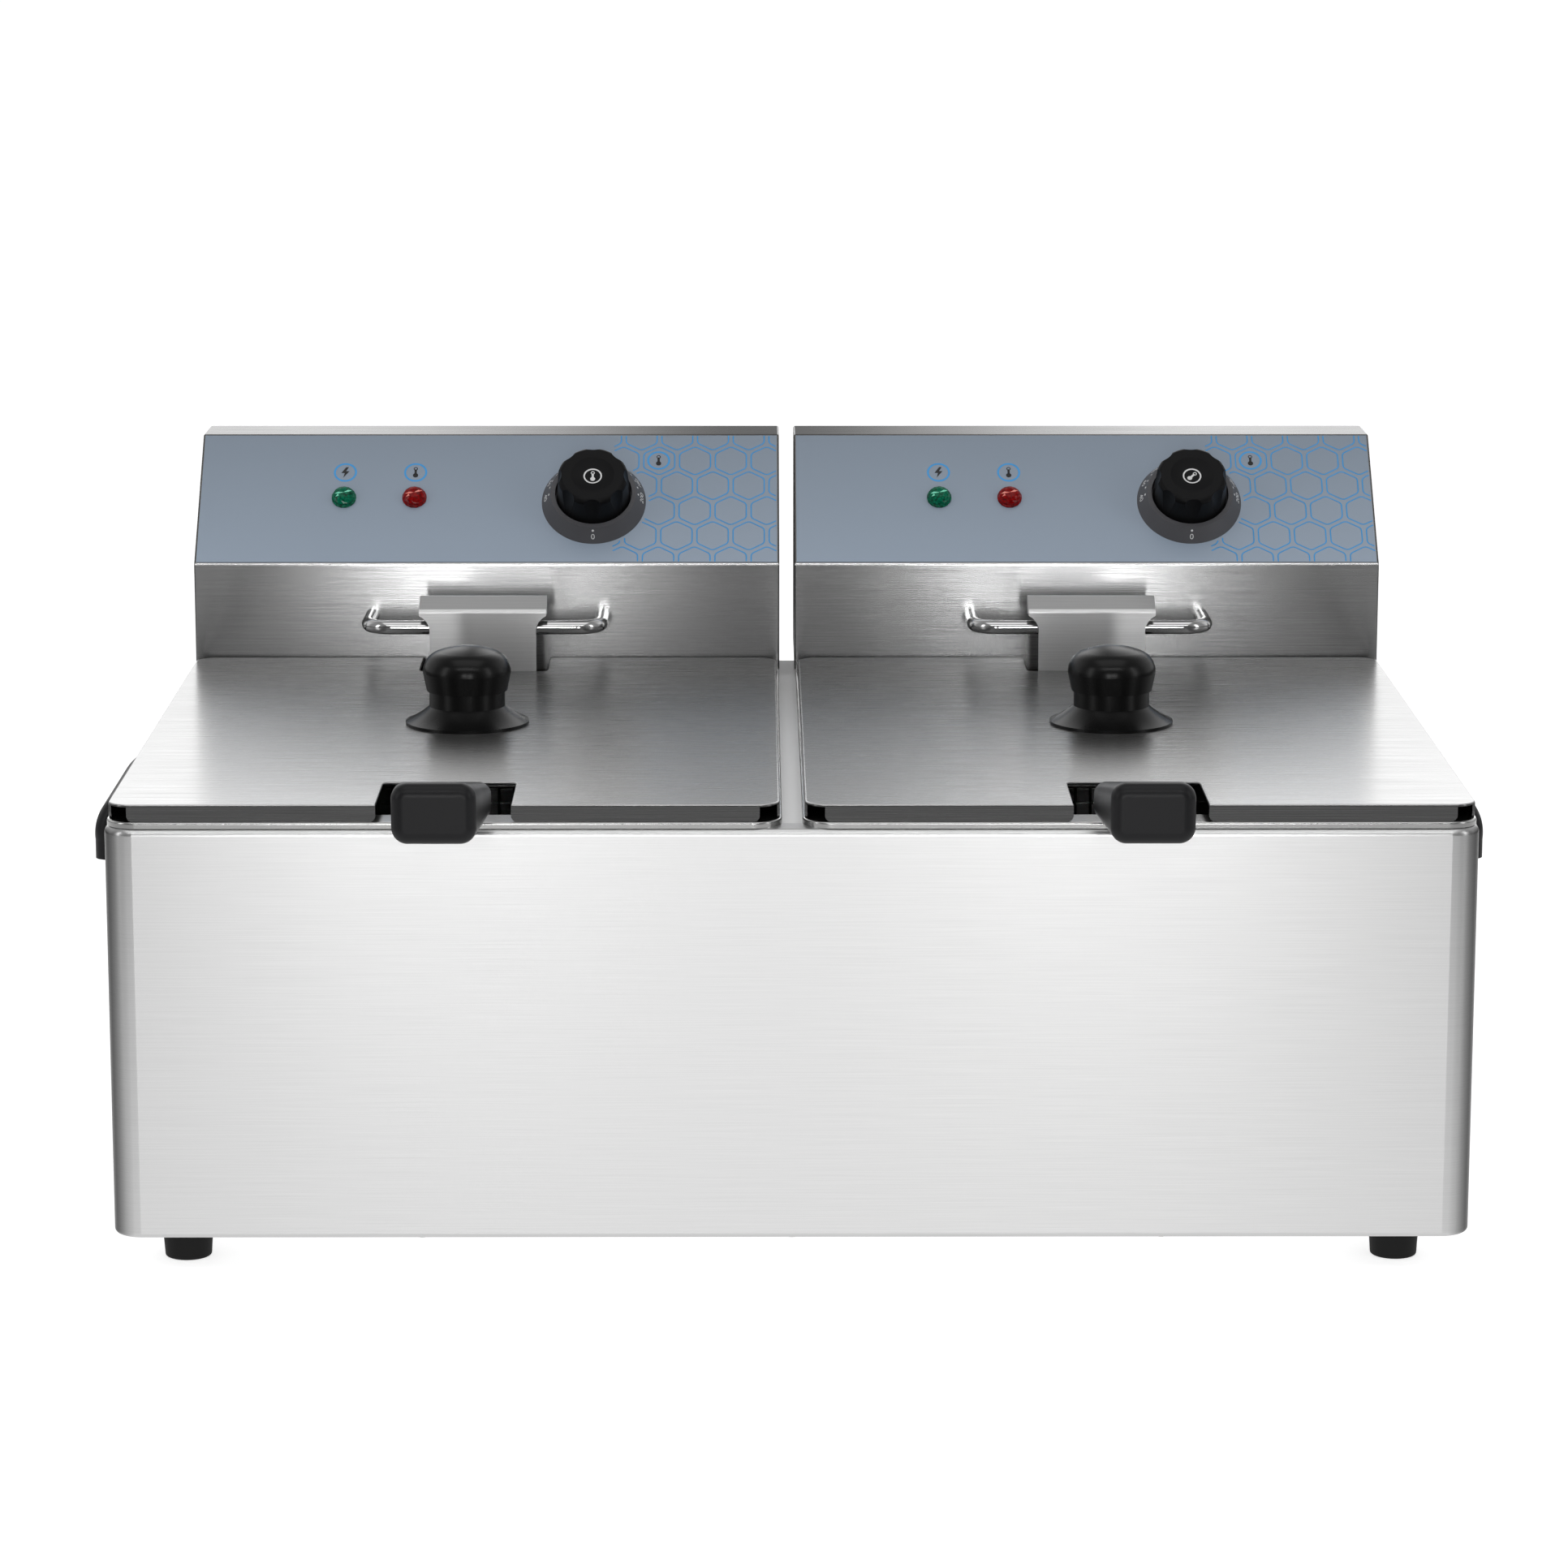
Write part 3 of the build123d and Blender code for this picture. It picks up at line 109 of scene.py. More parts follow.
def ramp(tree, value, none, full):
    """How far a value has come from one limit to the other, as 0 to 1."""
    made = add(tree, "ShaderNodeMapRange", {"Value": value, "From Min": none, "From Max": full})
    return made.outputs["Result"]


def spread(tree, source, low, high):
    """Maps a 0 to 1 value onto low to high."""
    made = add(tree, "ShaderNodeMapRange", {"Value": source, "To Min": low, "To Max": high})
    return made.outputs["Result"]


def choose(tree, factor, if_not, if_so):
    """Mixes two values by a 0 to 1 value."""
    made = add(tree, "ShaderNodeMix", {"Factor": factor, "A": if_not, "B": if_so}, data_type="FLOAT")
    return made.outputs["Result"]


def two_tone(tree, source, dark, light):
    """Mixes two colours by a 0 to 1 value."""
    blend = add(tree, "ShaderNodeValToRGB", {"Fac": source})
    blend.color_ramp.elements[0].color = (*dark, 1)
    blend.color_ramp.elements[1].color = (*light, 1)
    return blend.outputs["Color"]


def scaled(tree, vector, factor):
    made = add(tree, "ShaderNodeVectorMath", {0: vector, "Scale": factor}, operation="SCALE")
    return made.outputs["Vector"]


def sized(tree, place, scale):
    return add(tree, "ShaderNodeMapping", {"Vector": place, "Scale": scale}).outputs["Vector"]


def noise(tree, place, scale, detail=2.0):
    made = add(tree, "ShaderNodeTexNoise", {"Vector": place, "Scale": scale, "Detail": detail})
    return made.outputs["Fac"]


def bump(tree, surface, height, strength, distance):
    made = add(tree, "ShaderNodeBump", {"Height": height, "Strength": strength, "Distance": distance})
    tree.links.new(made.outputs["Normal"], surface.inputs["Normal"])


# Brushed sheet: the belt's lines, the shares of a face's normal that tell bends and folds from flat faces,
# and the places over which lids and heads get painted shade

FINE_LINES = (22, 2400, 1)
BROAD_LINES = (9, 700, 1)
BROAD_SHARE = 0.18
LINE_CONTRAST = (0.3, 0.7)
LINE_STRENGTH = 0.25
LINE_DEPTH = 0.00004
FACING = (0.699, 0.701)
LYING = (0.3, 0.7)
BEND_SIDEWAYS = (0.2, 0.85)
BEND_FORWARD = (0.02, 0.25)
FOLD_FROM = (0.06, 0.2)
FOLD_TO = (0.5, 0.66)
FOLD_FORWARD = (0.6, 0.7)
UNIT_MIDDLE = 0.139
UNIT_ENDS = (0.03, 0.115)
LID_BACK = (-0.19, 0.03)
LID_OUTER = (0.17, 0.25)
LID_OUTER_SHARE = 0.1
LID_END_SHARE = 0.6


def brushed_sheet(
    name, tones, rough, stretch, upright_shade=1.0, level_shade=1.0, bend_shade=0.12,
    rear_shade=1.0, end_shade=1.0, fold_highlight=None,
):
    """Stainless sheet with a brushing belt's long fine lines, level on upright faces, crosswise on flat ones.

    Upright bends get painted shade. upright_shade and level_shade paint shade on the faces that stand and
    lie, rear_shade on the back of a lid, and end_shade on both ends of a head. fold_highlight paints a
    highlight on the level fold under a head's panel."""
    dark, light = ((tone, tone, tone) for tone in tones)
    rough_low, rough_high = rough
    material, tree, surface = shader(name, {"Metallic": 1.0, "Anisotropic": stretch})
    normal = split(tree, add(tree, "ShaderNodeNewGeometry").outputs["Normal"])
    place = split(tree, object_place(tree))

    def lean(axis, limits):
        """How far the face leans to an axis, as 0 to 1 between two shares of its normal."""
        return ramp(tree, calc(tree, "ABSOLUTE", normal[axis]), *limits)

    def with_painted_shade(value, share, least):
        """A tone, lowered by painted shade to a least value where a share is full."""
        return calc(tree, "MULTIPLY", value, spread(tree, share, 1.0, least))

    level = lean("Z", FACING)
    along = choose(tree, lean("X", FACING), place["X"], place["Y"])
    across = choose(tree, level, place["Z"], place["Y"])
    line_place = join(tree, X=along, Y=across)
    fine = noise(tree, sized(tree, line_place, FINE_LINES), 1.0, 3.0)
    broad = noise(tree, sized(tree, line_place, BROAD_LINES), 1.0, 2.0)
    lines = ramp(tree, choose(tree, BROAD_SHARE, fine, broad), *LINE_CONTRAST)

    # Painted shade on the faces that stand and on those that lie
    tone = choose(tree, lean("Z", LYING), upright_shade, level_shade)
    sideways = calc(tree, "ABSOLUTE", place["X"])
    off_middle = calc(tree, "ABSOLUTE", calc(tree, "SUBTRACT", sideways, UNIT_MIDDLE))
    ends = ramp(tree, off_middle, *UNIT_ENDS)
    # Painted shade over the back of a lid, weaker towards its outer side and the unit's ends
    if rear_shade < 1.0:
        outer = spread(tree, ramp(tree, sideways, *LID_OUTER), 1.0, LID_OUTER_SHARE)
        sides = calc(tree, "MINIMUM", outer, spread(tree, ends, 1.0, LID_END_SHARE))
        tone = with_painted_shade(tone, calc(tree, "MULTIPLY", ramp(tree, place["Y"], *LID_BACK), sides), rear_shade)
    # Painted shade at both ends of a head
    if end_shade < 1.0:
        tone = with_painted_shade(tone, ends, end_shade)
    # Painted shade in the upright bends
    bend = calc(tree, "MULTIPLY", lean("X", BEND_SIDEWAYS), lean("Y", BEND_FORWARD))
    tone = with_painted_shade(tone, bend, bend_shade)
    # Painted highlight on the level fold under a head's panel
    if fold_highlight:
        under_panel = choose(tree, lean("Z", FOLD_TO), lean("Z", FOLD_FROM), 0.0)
        fold = calc(tree, "MULTIPLY", under_panel, lean("Y", FOLD_FORWARD))
        tone = choose(tree, fold, tone, fold_highlight)

    tree.links.new(scaled(tree, two_tone(tree, lines, dark, light), tone), surface.inputs["Base Color"])
    tree.links.new(spread(tree, lines, rough_high, rough_low), surface.inputs["Roughness"])
    across_way = join(tree, Y=level, Z=calc(tree, "SUBTRACT", 1.0, level))
    tree.links.new(across_way, surface.inputs["Tangent"])
    bump(tree, surface, lines, LINE_STRENGTH, LINE_DEPTH)
    return material


# Other finishes

# Painted shade over the panel film: its tone at the bottom and at the top
FILM_LOW_TONE = 1.1
FILM_TOP_TONE = 0.82
FLOOR_GLOW = 0.62
PATCH_RADIUS = 1.0
PATCH_END = 1.5
PATCH_LIGHT = 0.83
FLOOR_FAR = 0.06


def bright_metal(name, tone, roughness, blotch):
    """Polished or drawn steel with faint smears in its gloss."""
    material, tree, surface = shader(name, {"Metallic": 1.0})
    place = object_place(tree)
    smear = noise(tree, place, 60.0, 4.0)
    dull = [channel * (1 - blotch) for channel in tone]
    tree.links.new(two_tone(tree, smear, dull, tone), surface.inputs["Base Color"])
    tree.links.new(spread(tree, smear, roughness * 1.4, roughness * 0.7), surface.inputs["Roughness"])
    return material


def heat_tinted_tube(name):
    """Heating element tube: dull steel with straw and brown tints from heat."""
    material, tree, surface = shader(name, {"Metallic": 1.0})
    place = object_place(tree)
    tint = noise(tree, place, 18.0, 3.0)
    tints = two_tone(tree, tint, (0.2, 0.16, 0.12), (0.46, 0.44, 0.4))
    tree.links.new(tints, surface.inputs["Base Color"])
    tree.links.new(spread(tree, noise(tree, place, 300.0), 0.3, 0.5), surface.inputs["Roughness"])
    return material


def moulded(name, tone, rough_low, rough_high, gloss=0.45, grain=1400.0, grain_height=0.00003):
    """Moulded plastic or rubber: a fine spark-eroded grain and a slightly uneven sheen."""
    material, tree, surface = shader(name, {"Specular IOR Level": gloss})
    place = object_place(tree)
    cloud = noise(tree, place, 45.0, 3.0)
    grains = noise(tree, place, grain, 2.0)
    lighter = [channel * 1.35 + 0.002 for channel in tone]
    tree.links.new(two_tone(tree, cloud, tone, lighter), surface.inputs["Base Color"])
    tree.links.new(spread(tree, cloud, rough_low, rough_high), surface.inputs["Roughness"])
    bump(tree, surface, grains, 0.3, grain_height)
    return material


def satin_film(name, tone):
    """Printed polycarbonate overlay with a fine satin texture, and painted shade that makes it a little
    darker towards its top.
    """
    material, tree, surface = shader(
        name, {"Specular IOR Level": 0.5, "Coat Weight": 0.15, "Coat Roughness": 0.25}
    )
    place = object_place(tree)
    speck = noise(tree, place, 2200.0, 2.0)
    cloud = noise(tree, place, 9.0, 2.0)
    darker = [channel * 0.93 for channel in tone]
    low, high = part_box("left_panel_film")
    # Painted shade, darker towards the film's top
    up = ramp(tree, split(tree, place)["Z"], low.z, high.z)
    painted_top_shade = spread(tree, up, FILM_LOW_TONE, FILM_TOP_TONE)
    tree.links.new(scaled(tree, two_tone(tree, cloud, darker, tone), painted_top_shade), surface.inputs["Base Color"])
    tree.links.new(spread(tree, speck, 0.32, 0.46), surface.inputs["Roughness"])
    bump(tree, surface, speck, 0.2, 0.00001)
    return material


def printed(name, tone):
    """Screen-printed ink, slightly uneven."""
    material, tree, surface = shader(name, {"Roughness": 0.45})
    cloud = noise(tree, object_place(tree), 800.0, 2.0)
    thin = [channel * 0.88 for channel in tone]
    tree.links.new(two_tone(tree, cloud, thin, tone), surface.inputs["Base Color"])
    return material


def lamp_lens(name, deep, lit):
    """Clear tinted lamp lens, painted in small cells from a lit tint to a deep one for the light through its
    facets.
    """
    material, tree, surface = shader(
        name, {"Roughness": 0.14, "Specular IOR Level": 0.14, "Coat Weight": 0.06, "Coat Roughness": 0.03}
    )
    cells = add(tree, "ShaderNodeTexVoronoi", {"Vector": object_place(tree), "Scale": 900.0})
    tree.links.new(two_tone(tree, cells.outputs["Distance"], lit, deep), surface.inputs["Base Color"])
    return material


def studio_floor(name):
    """White floor; in the steel it shows as a lit patch around the object that falls off to grey."""
    glow = {"Emission Color": (1, 1, 1, 1), "Emission Strength": FLOOR_GLOW}
    material, tree, surface = shader(name, {"Roughness": 0.9, "Specular IOR Level": 0.1, **glow})
    place = object_place(tree)
    cloud = two_tone(tree, noise(tree, place, 3.0), (0.93, 0.93, 0.93), (0.96, 0.96, 0.96))
    tree.links.new(cloud, surface.inputs["Base Color"])
    away = add(tree, "ShaderNodeVectorMath", {0: place}, operation="LENGTH").outputs["Value"]
    fall_off = spread(tree, ramp(tree, away, PATCH_RADIUS, PATCH_END), PATCH_LIGHT, FLOOR_FAR)
    mirrored = add(tree, "ShaderNodeEmission", {"Strength": fall_off}).outputs[0]
    seen = add(tree, "ShaderNodeLightPath").outputs["Is Camera Ray"]
    mix = add(tree, "ShaderNodeMixShader", {0: seen, 1: mirrored, 2: surface.outputs[0]})
    tree.links.new(mix.outputs[0], tree.nodes["Material Output"].inputs["Surface"])
    return material


# Painted shade in the upright bends of every sheet but the hook's
brushed = brushed_sheet("brushed_stainless", (0.68, 0.74), (0.28, 0.37), 0.5)
# Painted shade on the head's level faces and ends, and a painted highlight on the fold under its panel
head_brushed = brushed_sheet(
    "brushed_head_sheet", (0.42, 0.66), (0.18, 0.25), 0.85, level_shade=0.5, end_shade=0.6, fold_highlight=1.6
)
# Painted shade on the lid's upright faces, bends and back
lid_brushed = brushed_sheet(
    "brushed_lid_sheet", (0.52, 0.72), (0.24, 0.32), 0.8, upright_shade=0.26, bend_shade=0.45, rear_shade=0.18
)
hook_satin = brushed_sheet("satin_hook_sheet", (0.62, 0.72), (0.3, 0.38), 0.3, bend_shade=1.0)
divider_matt = brushed_sheet("matt_divider_sheet", (0.8, 0.86), (0.5, 0.6), 0.2)
drawn_steel = bright_metal("drawn_tank_steel", (0.52, 0.52, 0.515), 0.2, 0.1)
wire_steel = bright_metal("polished_wire", (0.66, 0.66, 0.66), 0.12, 0.06)
element_tube = heat_tinted_tube("heat_tinted_tube")
black_plastic = moulded("black_moulding", (0.006, 0.006, 0.007), 0.32, 0.42, 0.24)
black_gloss = moulded("black_phenolic", (0.0025, 0.0025, 0.0025), 0.24, 0.3, 0.24, 700.0, 0.00001)
dial_black = moulded("black_dial_knob", (0.005, 0.005, 0.0055), 0.34, 0.42, 0.11)
black_satin = moulded("black_dial_ring", (0.085, 0.085, 0.092), 0.42, 0.52, 0.35)
foot_rubber = moulded("black_rubber", (0.006, 0.006, 0.006), 0.6, 0.75, 0.2, 900.0, 0.00005)
film = satin_film("panel_film_satin", (0.335, 0.41, 0.51))
cream_moulding = moulded("cream_moulding", (0.6, 0.56, 0.48), 0.4, 0.55)
red_moulding = moulded("red_moulding", (0.45, 0.02, 0.015), 0.3, 0.42)
blue_ink = printed("light_blue_ink", (0.06, 0.4, 0.88))
black_ink = printed("black_ink", (0.008, 0.008, 0.01))
white_ink = printed("white_ink", (0.86, 0.86, 0.86))
green_lens = lamp_lens("green_lens_clear", (0.0, 0.02, 0.01), (0.0, 0.24, 0.12))
red_lens = lamp_lens("red_lens_clear", (0.07, 0.001, 0.001), (0.4, 0.002, 0.003))
# Painted glints on some of the lenses' facets
green_painted_glint = lamp_lens("green_lens_painted_glints", (0.12, 0.75, 0.5), (0.4, 1.0, 0.75))
red_painted_glint = lamp_lens("red_lens_painted_glints", (0.95, 0.12, 0.1), (1.0, 0.5, 0.42))
screw_steel = bright_metal("screw_steel", (0.7, 0.7, 0.68), 0.22, 0.15)

SLOT_FINISH = {
    "brushed_steel": brushed,
    "tank_steel": drawn_steel,
    "bright_wire": wire_steel,
    "element_steel": element_tube,
    "rubber": foot_rubber,
    "black_plastic": black_plastic,
    "black_phenolic": black_gloss,
    "panel_film": film,
    "green_lens": green_lens,
    "red_lens": red_lens,
    "inner_plastic": cream_moulding,
    "red_plastic": red_moulding,
}
for row in frame["record"]["subparts"]:
    nodes[row["node"]].material_slots[0].material = SLOT_FINISH[row["material_slot"]]
nodes["deck_divider"].material_slots[0].material = divider_matt
for side in SIDES:
    nodes[f"{side}_lid_cover"].material_slots[0].material = lid_brushed
    nodes[f"{side}_head_housing"].material_slots[0].material = head_brushed
    nodes[f"{side}_dial_ring"].material_slots[0].material = black_satin
    nodes[f"{side}_dial_knob"].material_slots[0].material = dial_black
    nodes[f"{side}_basket_hook"].material_slots[0].material = hook_satin


# Pieces

def piece(name, mesh, body):
    """A finished piece at the origin, riding on a body."""
    made = bpy.data.objects.new(name, mesh)
    bpy.context.scene.collection.objects.link(made)
    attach(made, body)
    return made


def grown(name, tree, inputs, base=None):
    """The plain mesh that a node tree gives for these inputs."""
    holder = bpy.data.objects.new(name, base or bpy.data.meshes.new(name))
    bpy.context.scene.collection.objects.link(holder)
    modifier = holder.modifiers.new(name, "NODES")
    modifier.node_group = tree
    for item in tree.interface.items_tree:
        if item.item_type == "SOCKET" and item.in_out == "INPUT" and item.name in inputs:
            modifier[item.identifier] = inputs[item.name]
    shown = holder.evaluated_get(bpy.context.evaluated_depsgraph_get())
    mesh = bpy.data.meshes.new_from_object(shown)
    holder.modifiers.remove(modifier)
    bpy.data.objects.remove(holder)
    return mesh


def new_tree(name, sockets):
    """A geometry tree with named inputs; returns it with its input node and its output's socket."""
    tree = bpy.data.node_groups.new(name, "GeometryNodeTree")
    tree.interface.new_socket("Geometry", in_out="INPUT", socket_type="NodeSocketGeometry")
    for label, kind in sockets.items():
        tree.interface.new_socket(label, in_out="INPUT", socket_type=f"NodeSocket{kind}")
    tree.interface.new_socket("Geometry", in_out="OUTPUT", socket_type="NodeSocketGeometry")
    given = tree.nodes.new("NodeGroupInput")
    result = tree.nodes.new("NodeGroupOutput")
    return tree, given, result.inputs[0]


def tubes(tree, strands, radius, sides):
    """Closed round tubes along curves."""
    section = add(tree, "GeometryNodeCurvePrimitiveCircle", {"Resolution": sides, "Radius": radius})
    made = add(
        tree,
        "GeometryNodeCurveToMesh",
        {"Curve": strands, "Profile Curve": section.outputs["Curve"], "Fill Caps": True},
    )
    return made.outputs["Mesh"]


def finish_tree(tree, geometry, material, result):
    """Ends a tree in Realize Instances and Set Material."""
    real = add(tree, "GeometryNodeRealizeInstances", {"Geometry": geometry}).outputs["Geometry"]
    painted = add(tree, "GeometryNodeSetMaterial", {"Geometry": real, "Material": material})
    tree.links.new(painted.outputs["Geometry"], result)


# Fine basket wire

WIRE_PITCH = 0.0068
WIRE_RADIUS = 0.0007
WIRE_SIDES = 8


def wire_panel_tree():
    """Two crossing layers of straight round wires over a flat panel centred on the origin."""
    tree, given, result = new_tree(
        "wire_panel",
        {
            "Width": "Float", "Height": "Float", "Pitch": "Float", "Wire Radius": "Float",
            "Material": "Material",
        },
    )
    sums = partial(calc, tree)

    def layer(across, along, drop, turn):
        """Wires that run along Y, spaced over X, then turned about Z."""
        count = sums("ROUND", sums("DIVIDE", across, given.outputs["Pitch"]))
        start = join(tree, X=sums("MULTIPLY", across, -0.5), Z=drop)
        step = join(tree, X=sums("DIVIDE", across, count))
        rows = add(
            tree,
            "GeometryNodeMeshLine",
            {"Count": sums("ADD", count, 1.0), "Start Location": start, "Offset": step},
        ).outputs["Mesh"]
        end = sums("MULTIPLY", along, 0.5)
        first = join(tree, Y=sums("MULTIPLY", end, -1.0))
        strand = add(tree, "GeometryNodeCurvePrimitiveLine", {"Start": first, "End": join(tree, Y=end)})
        wire = tubes(tree, strand.outputs["Curve"], given.outputs["Wire Radius"], WIRE_SIDES)
        placed = add(tree, "GeometryNodeInstanceOnPoints", {"Points": rows, "Instance": wire})
        turned = add(
            tree,
            "GeometryNodeTransform",
            {"Geometry": placed.outputs["Instances"], "Rotation": (0, 0, turn)},
        )
        return turned.outputs["Geometry"]

    radius = given.outputs["Wire Radius"]
    under = sums("MULTIPLY", radius, -1.0)
    upright = layer(given.outputs["Width"], given.outputs["Height"], radius, 0.0)
    level = layer(given.outputs["Height"], given.outputs["Width"], under, math.pi / 2)
    joined = add(tree, "GeometryNodeJoinGeometry")
    tree.links.new(upright, joined.inputs[0])
    tree.links.new(level, joined.inputs[0])
    finish_tree(tree, joined.outputs[0], given.outputs["Material"], result)
    return tree


wire_panel = wire_panel_tree()


def basket_mesh(side):
    """The basket's floor and four walls in fine wire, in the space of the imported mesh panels."""
    low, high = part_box(f"{side}_basket_floor")
    wall_low, wall_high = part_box(f"{side}_basket_walls")
    inset = 2 * WIRE_RADIUS
    middle = (low + high) / 2
    width = high.x - low.x - 2 * inset
    length = high.y - low.y - 2 * inset
    height = wall_high.z - low.z
    wall_mid = (wall_high.z + low.z) / 2
    upright = Matrix.Rotation(math.pi / 2, 4, "X")
    sideways = Matrix.Rotation(math.pi / 2, 4, "Z") @ upright
    places = (
        (width, length, Matrix.Translation((middle.x, middle.y, low.z + inset))),
        (width, height, Matrix.Translation((middle.x, low.y + inset, wall_mid)) @ upright),
        (width, height, Matrix.Translation((middle.x, high.y - inset, wall_mid)) @ upright),
        (length, height, Matrix.Translation((low.x + inset, middle.y, wall_mid)) @ sideways),
        (length, height, Matrix.Translation((high.x - inset, middle.y, wall_mid)) @ sideways),
    )
    whole = bmesh.new()
    for across, along, place in places:
        sizes = {
            "Width": across, "Height": along, "Pitch": WIRE_PITCH, "Wire Radius": WIRE_RADIUS,
            "Material": wire_steel,
        }
        mesh = grown(f"{side}_wire_panel", wire_panel, sizes)
        mesh.transform(place)
        whole.from_mesh(mesh)
        bpy.data.meshes.remove(mesh)
    mesh = bpy.data.meshes.new(f"{side}_basket_mesh")
    whole.to_mesh(mesh)
    whole.free()
    mesh.materials.append(wire_steel)
    mesh.shade_smooth()
    made = piece(f"{side}_basket_mesh", mesh, f"{side}_basket")
    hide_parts(f"{side}_basket_floor", f"{side}_basket_walls")


for side in SIDES:
    basket_mesh(side)


# Signs on the sloping panel, drawn flat in millimetres and laid on the film

FILM_HALF = 0.2
INK_RISE = 0.05
DIAL_Y = -2.2


def film_place(side):
    """Places panel millimetres on the film's face: X to the right, Y up the slope, Z off it."""
    low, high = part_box(f"{side}_panel_film")
    origin = (low + high) / 2 + OFF_SLOPE * FILM_HALF * MM
    turn = Matrix((Vector((1, 0, 0)), UP_SLOPE, OFF_SLOPE)).transposed().to_4x4()
    return Matrix.Translation(origin) @ turn @ Matrix.Scale(MM, 4)


def film_x(side, node):
    """A node's place along the panel, in panel millimetres."""
    low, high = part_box(node)
    film_low, film_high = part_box(f"{side}_panel_film")
    return (low.x + high.x - film_low.x - film_high.x) / 2 / MM


def flat_shape(drawing, outline, rise=INK_RISE):
    """Adds one thin plate with this outline to a drawing."""
    lower = [drawing.verts.new((x, y, 0)) for x, y in outline]
    upper = [drawing.verts.new((x, y, rise)) for x, y in outline]
    drawing.faces.new(list(reversed(lower)))
    drawing.faces.new(upper)
    count = len(outline)
    for i in range(count):
        drawing.faces.new((lower[i], lower[(i + 1) % count], upper[(i + 1) % count], upper[i]))


def disc(centre, radius, steps=32):
    """Outline of a round spot."""
    turns = [2 * math.pi * i / steps for i in range(steps)]
    return [(centre[0] + radius * math.cos(t), centre[1] + radius * math.sin(t)) for t in turns]


def flat_ring(drawing, centre, outer, inner, steps=48, rise=INK_RISE):
    """Adds one thin ring to a drawing."""
    def circle(radius, z):
        return [drawing.verts.new((x, y, z)) for x, y in disc(centre, radius, steps)]

    bottom_in, bottom_out, top_in, top_out = (
        circle(radius, z) for z in (0, rise) for radius in (inner, outer)
    )
    for i in range(steps):
        j = (i + 1) % steps
        drawing.faces.new((top_in[i], top_out[i], top_out[j], top_in[j]))
        drawing.faces.new((bottom_in[j], bottom_out[j], bottom_out[i], bottom_in[i]))
        drawing.faces.new((bottom_out[i], bottom_out[j], top_out[j], top_out[i]))
        drawing.faces.new((bottom_in[j], bottom_in[i], top_in[i], top_in[j]))


def capsule(centre, half_width, half_height, steps=10):
    """Outline of an upright bar with round ends."""
    x, y = centre
    reach = half_height - half_width
    top = [math.pi * i / steps for i in range(steps + 1)]
    return [(x + half_width * math.cos(t), y + reach + half_width * math.sin(t)) for t in top] + [
        (x - half_width * math.cos(t), y - reach - half_width * math.sin(t)) for t in top
    ]


def lay(name, drawing, place, material, body):
    """Turns a flat drawing into a finished piece."""
    bmesh.ops.recalc_face_normals(drawing, faces=drawing.faces[:])
    mesh = bpy.data.meshes.new(name)
    drawing.to_mesh(mesh)
    drawing.free()
    mesh.transform(place)
    mesh.materials.append(material)
    return piece(name, mesh, body)


# A sign's ring, its height over the lamps, the bolt's outline, and a thermometer's bulb, stem and cap
RING_OUTER = 5.4
RING_INNER = 4.5
SIGN_UP = 15.0
THIRD_SIGN = (79.0, 22.0)
BOLT = ((0.3, 3.1), (-1.9, -0.35), (-0.3, -0.35), (-0.9, -3.1), (1.9, 0.75), (0.3, 0.75), (1.5, 3.1))
BULB_DROP = 1.7
BULB_RADIUS = 1.25
STEM_UP = 0.1
STEM_HALF = (0.55, 1.7)
CAP_UP = 2.1
CAP_OUTER = 1.0
CAP_INNER = 0.6
CAP_STEPS = 24


def thermometer(drawing, centre, size=1.0):
    """A bulb and stem, with the stem's top left open."""
    x, y = centre
    half_width, half_height = STEM_HALF
    flat_shape(drawing, disc((x, y - BULB_DROP * size), BULB_RADIUS * size))
    flat_shape(drawing, capsule((x, y + STEM_UP * size), half_width * size, half_height * size))
    flat_ring(drawing, (x, y + CAP_UP * size), CAP_OUTER * size, CAP_INNER * size, CAP_STEPS)


def panel_signs(side):
    body = f"{side}_head"
    place = film_place(side)
    green = (film_x(side, f"{side}_green_lamp"), SIGN_UP)
    red = (film_x(side, f"{side}_red_lamp"), SIGN_UP)
    rings = bmesh.new()
    for centre in (green, red, THIRD_SIGN):
        flat_ring(rings, centre, RING_OUTER, RING_INNER)
    lay(f"{side}_sign_rings", rings, place, blue_ink, body)
    signs = bmesh.new()
    flat_shape(signs, [(green[0] + x, green[1] + y) for x, y in BOLT])
    thermometer(signs, red)
    thermometer(signs, THIRD_SIGN)
    lay(f"{side}_signs", signs, place, black_ink, body)


# Honeycomb print over the right end of the film

CELL_RADIUS = 8.4
CELL_CORNER = 2.6
CORNER_STEPS = 8
CELL_COLUMNS = 7
CELL_ROWS = 8
BEAD_STEP = 0.35
LINE_RADIUS = 0.3
LINE_SIDES = 6
LINE_FLATTEN = 0.15
PRINT_FROM = 58.0
PRINT_INSET = 0.3
DIAL_KEEP_OUT = 25.5
SIGN_KEEP_OUT = 6.2


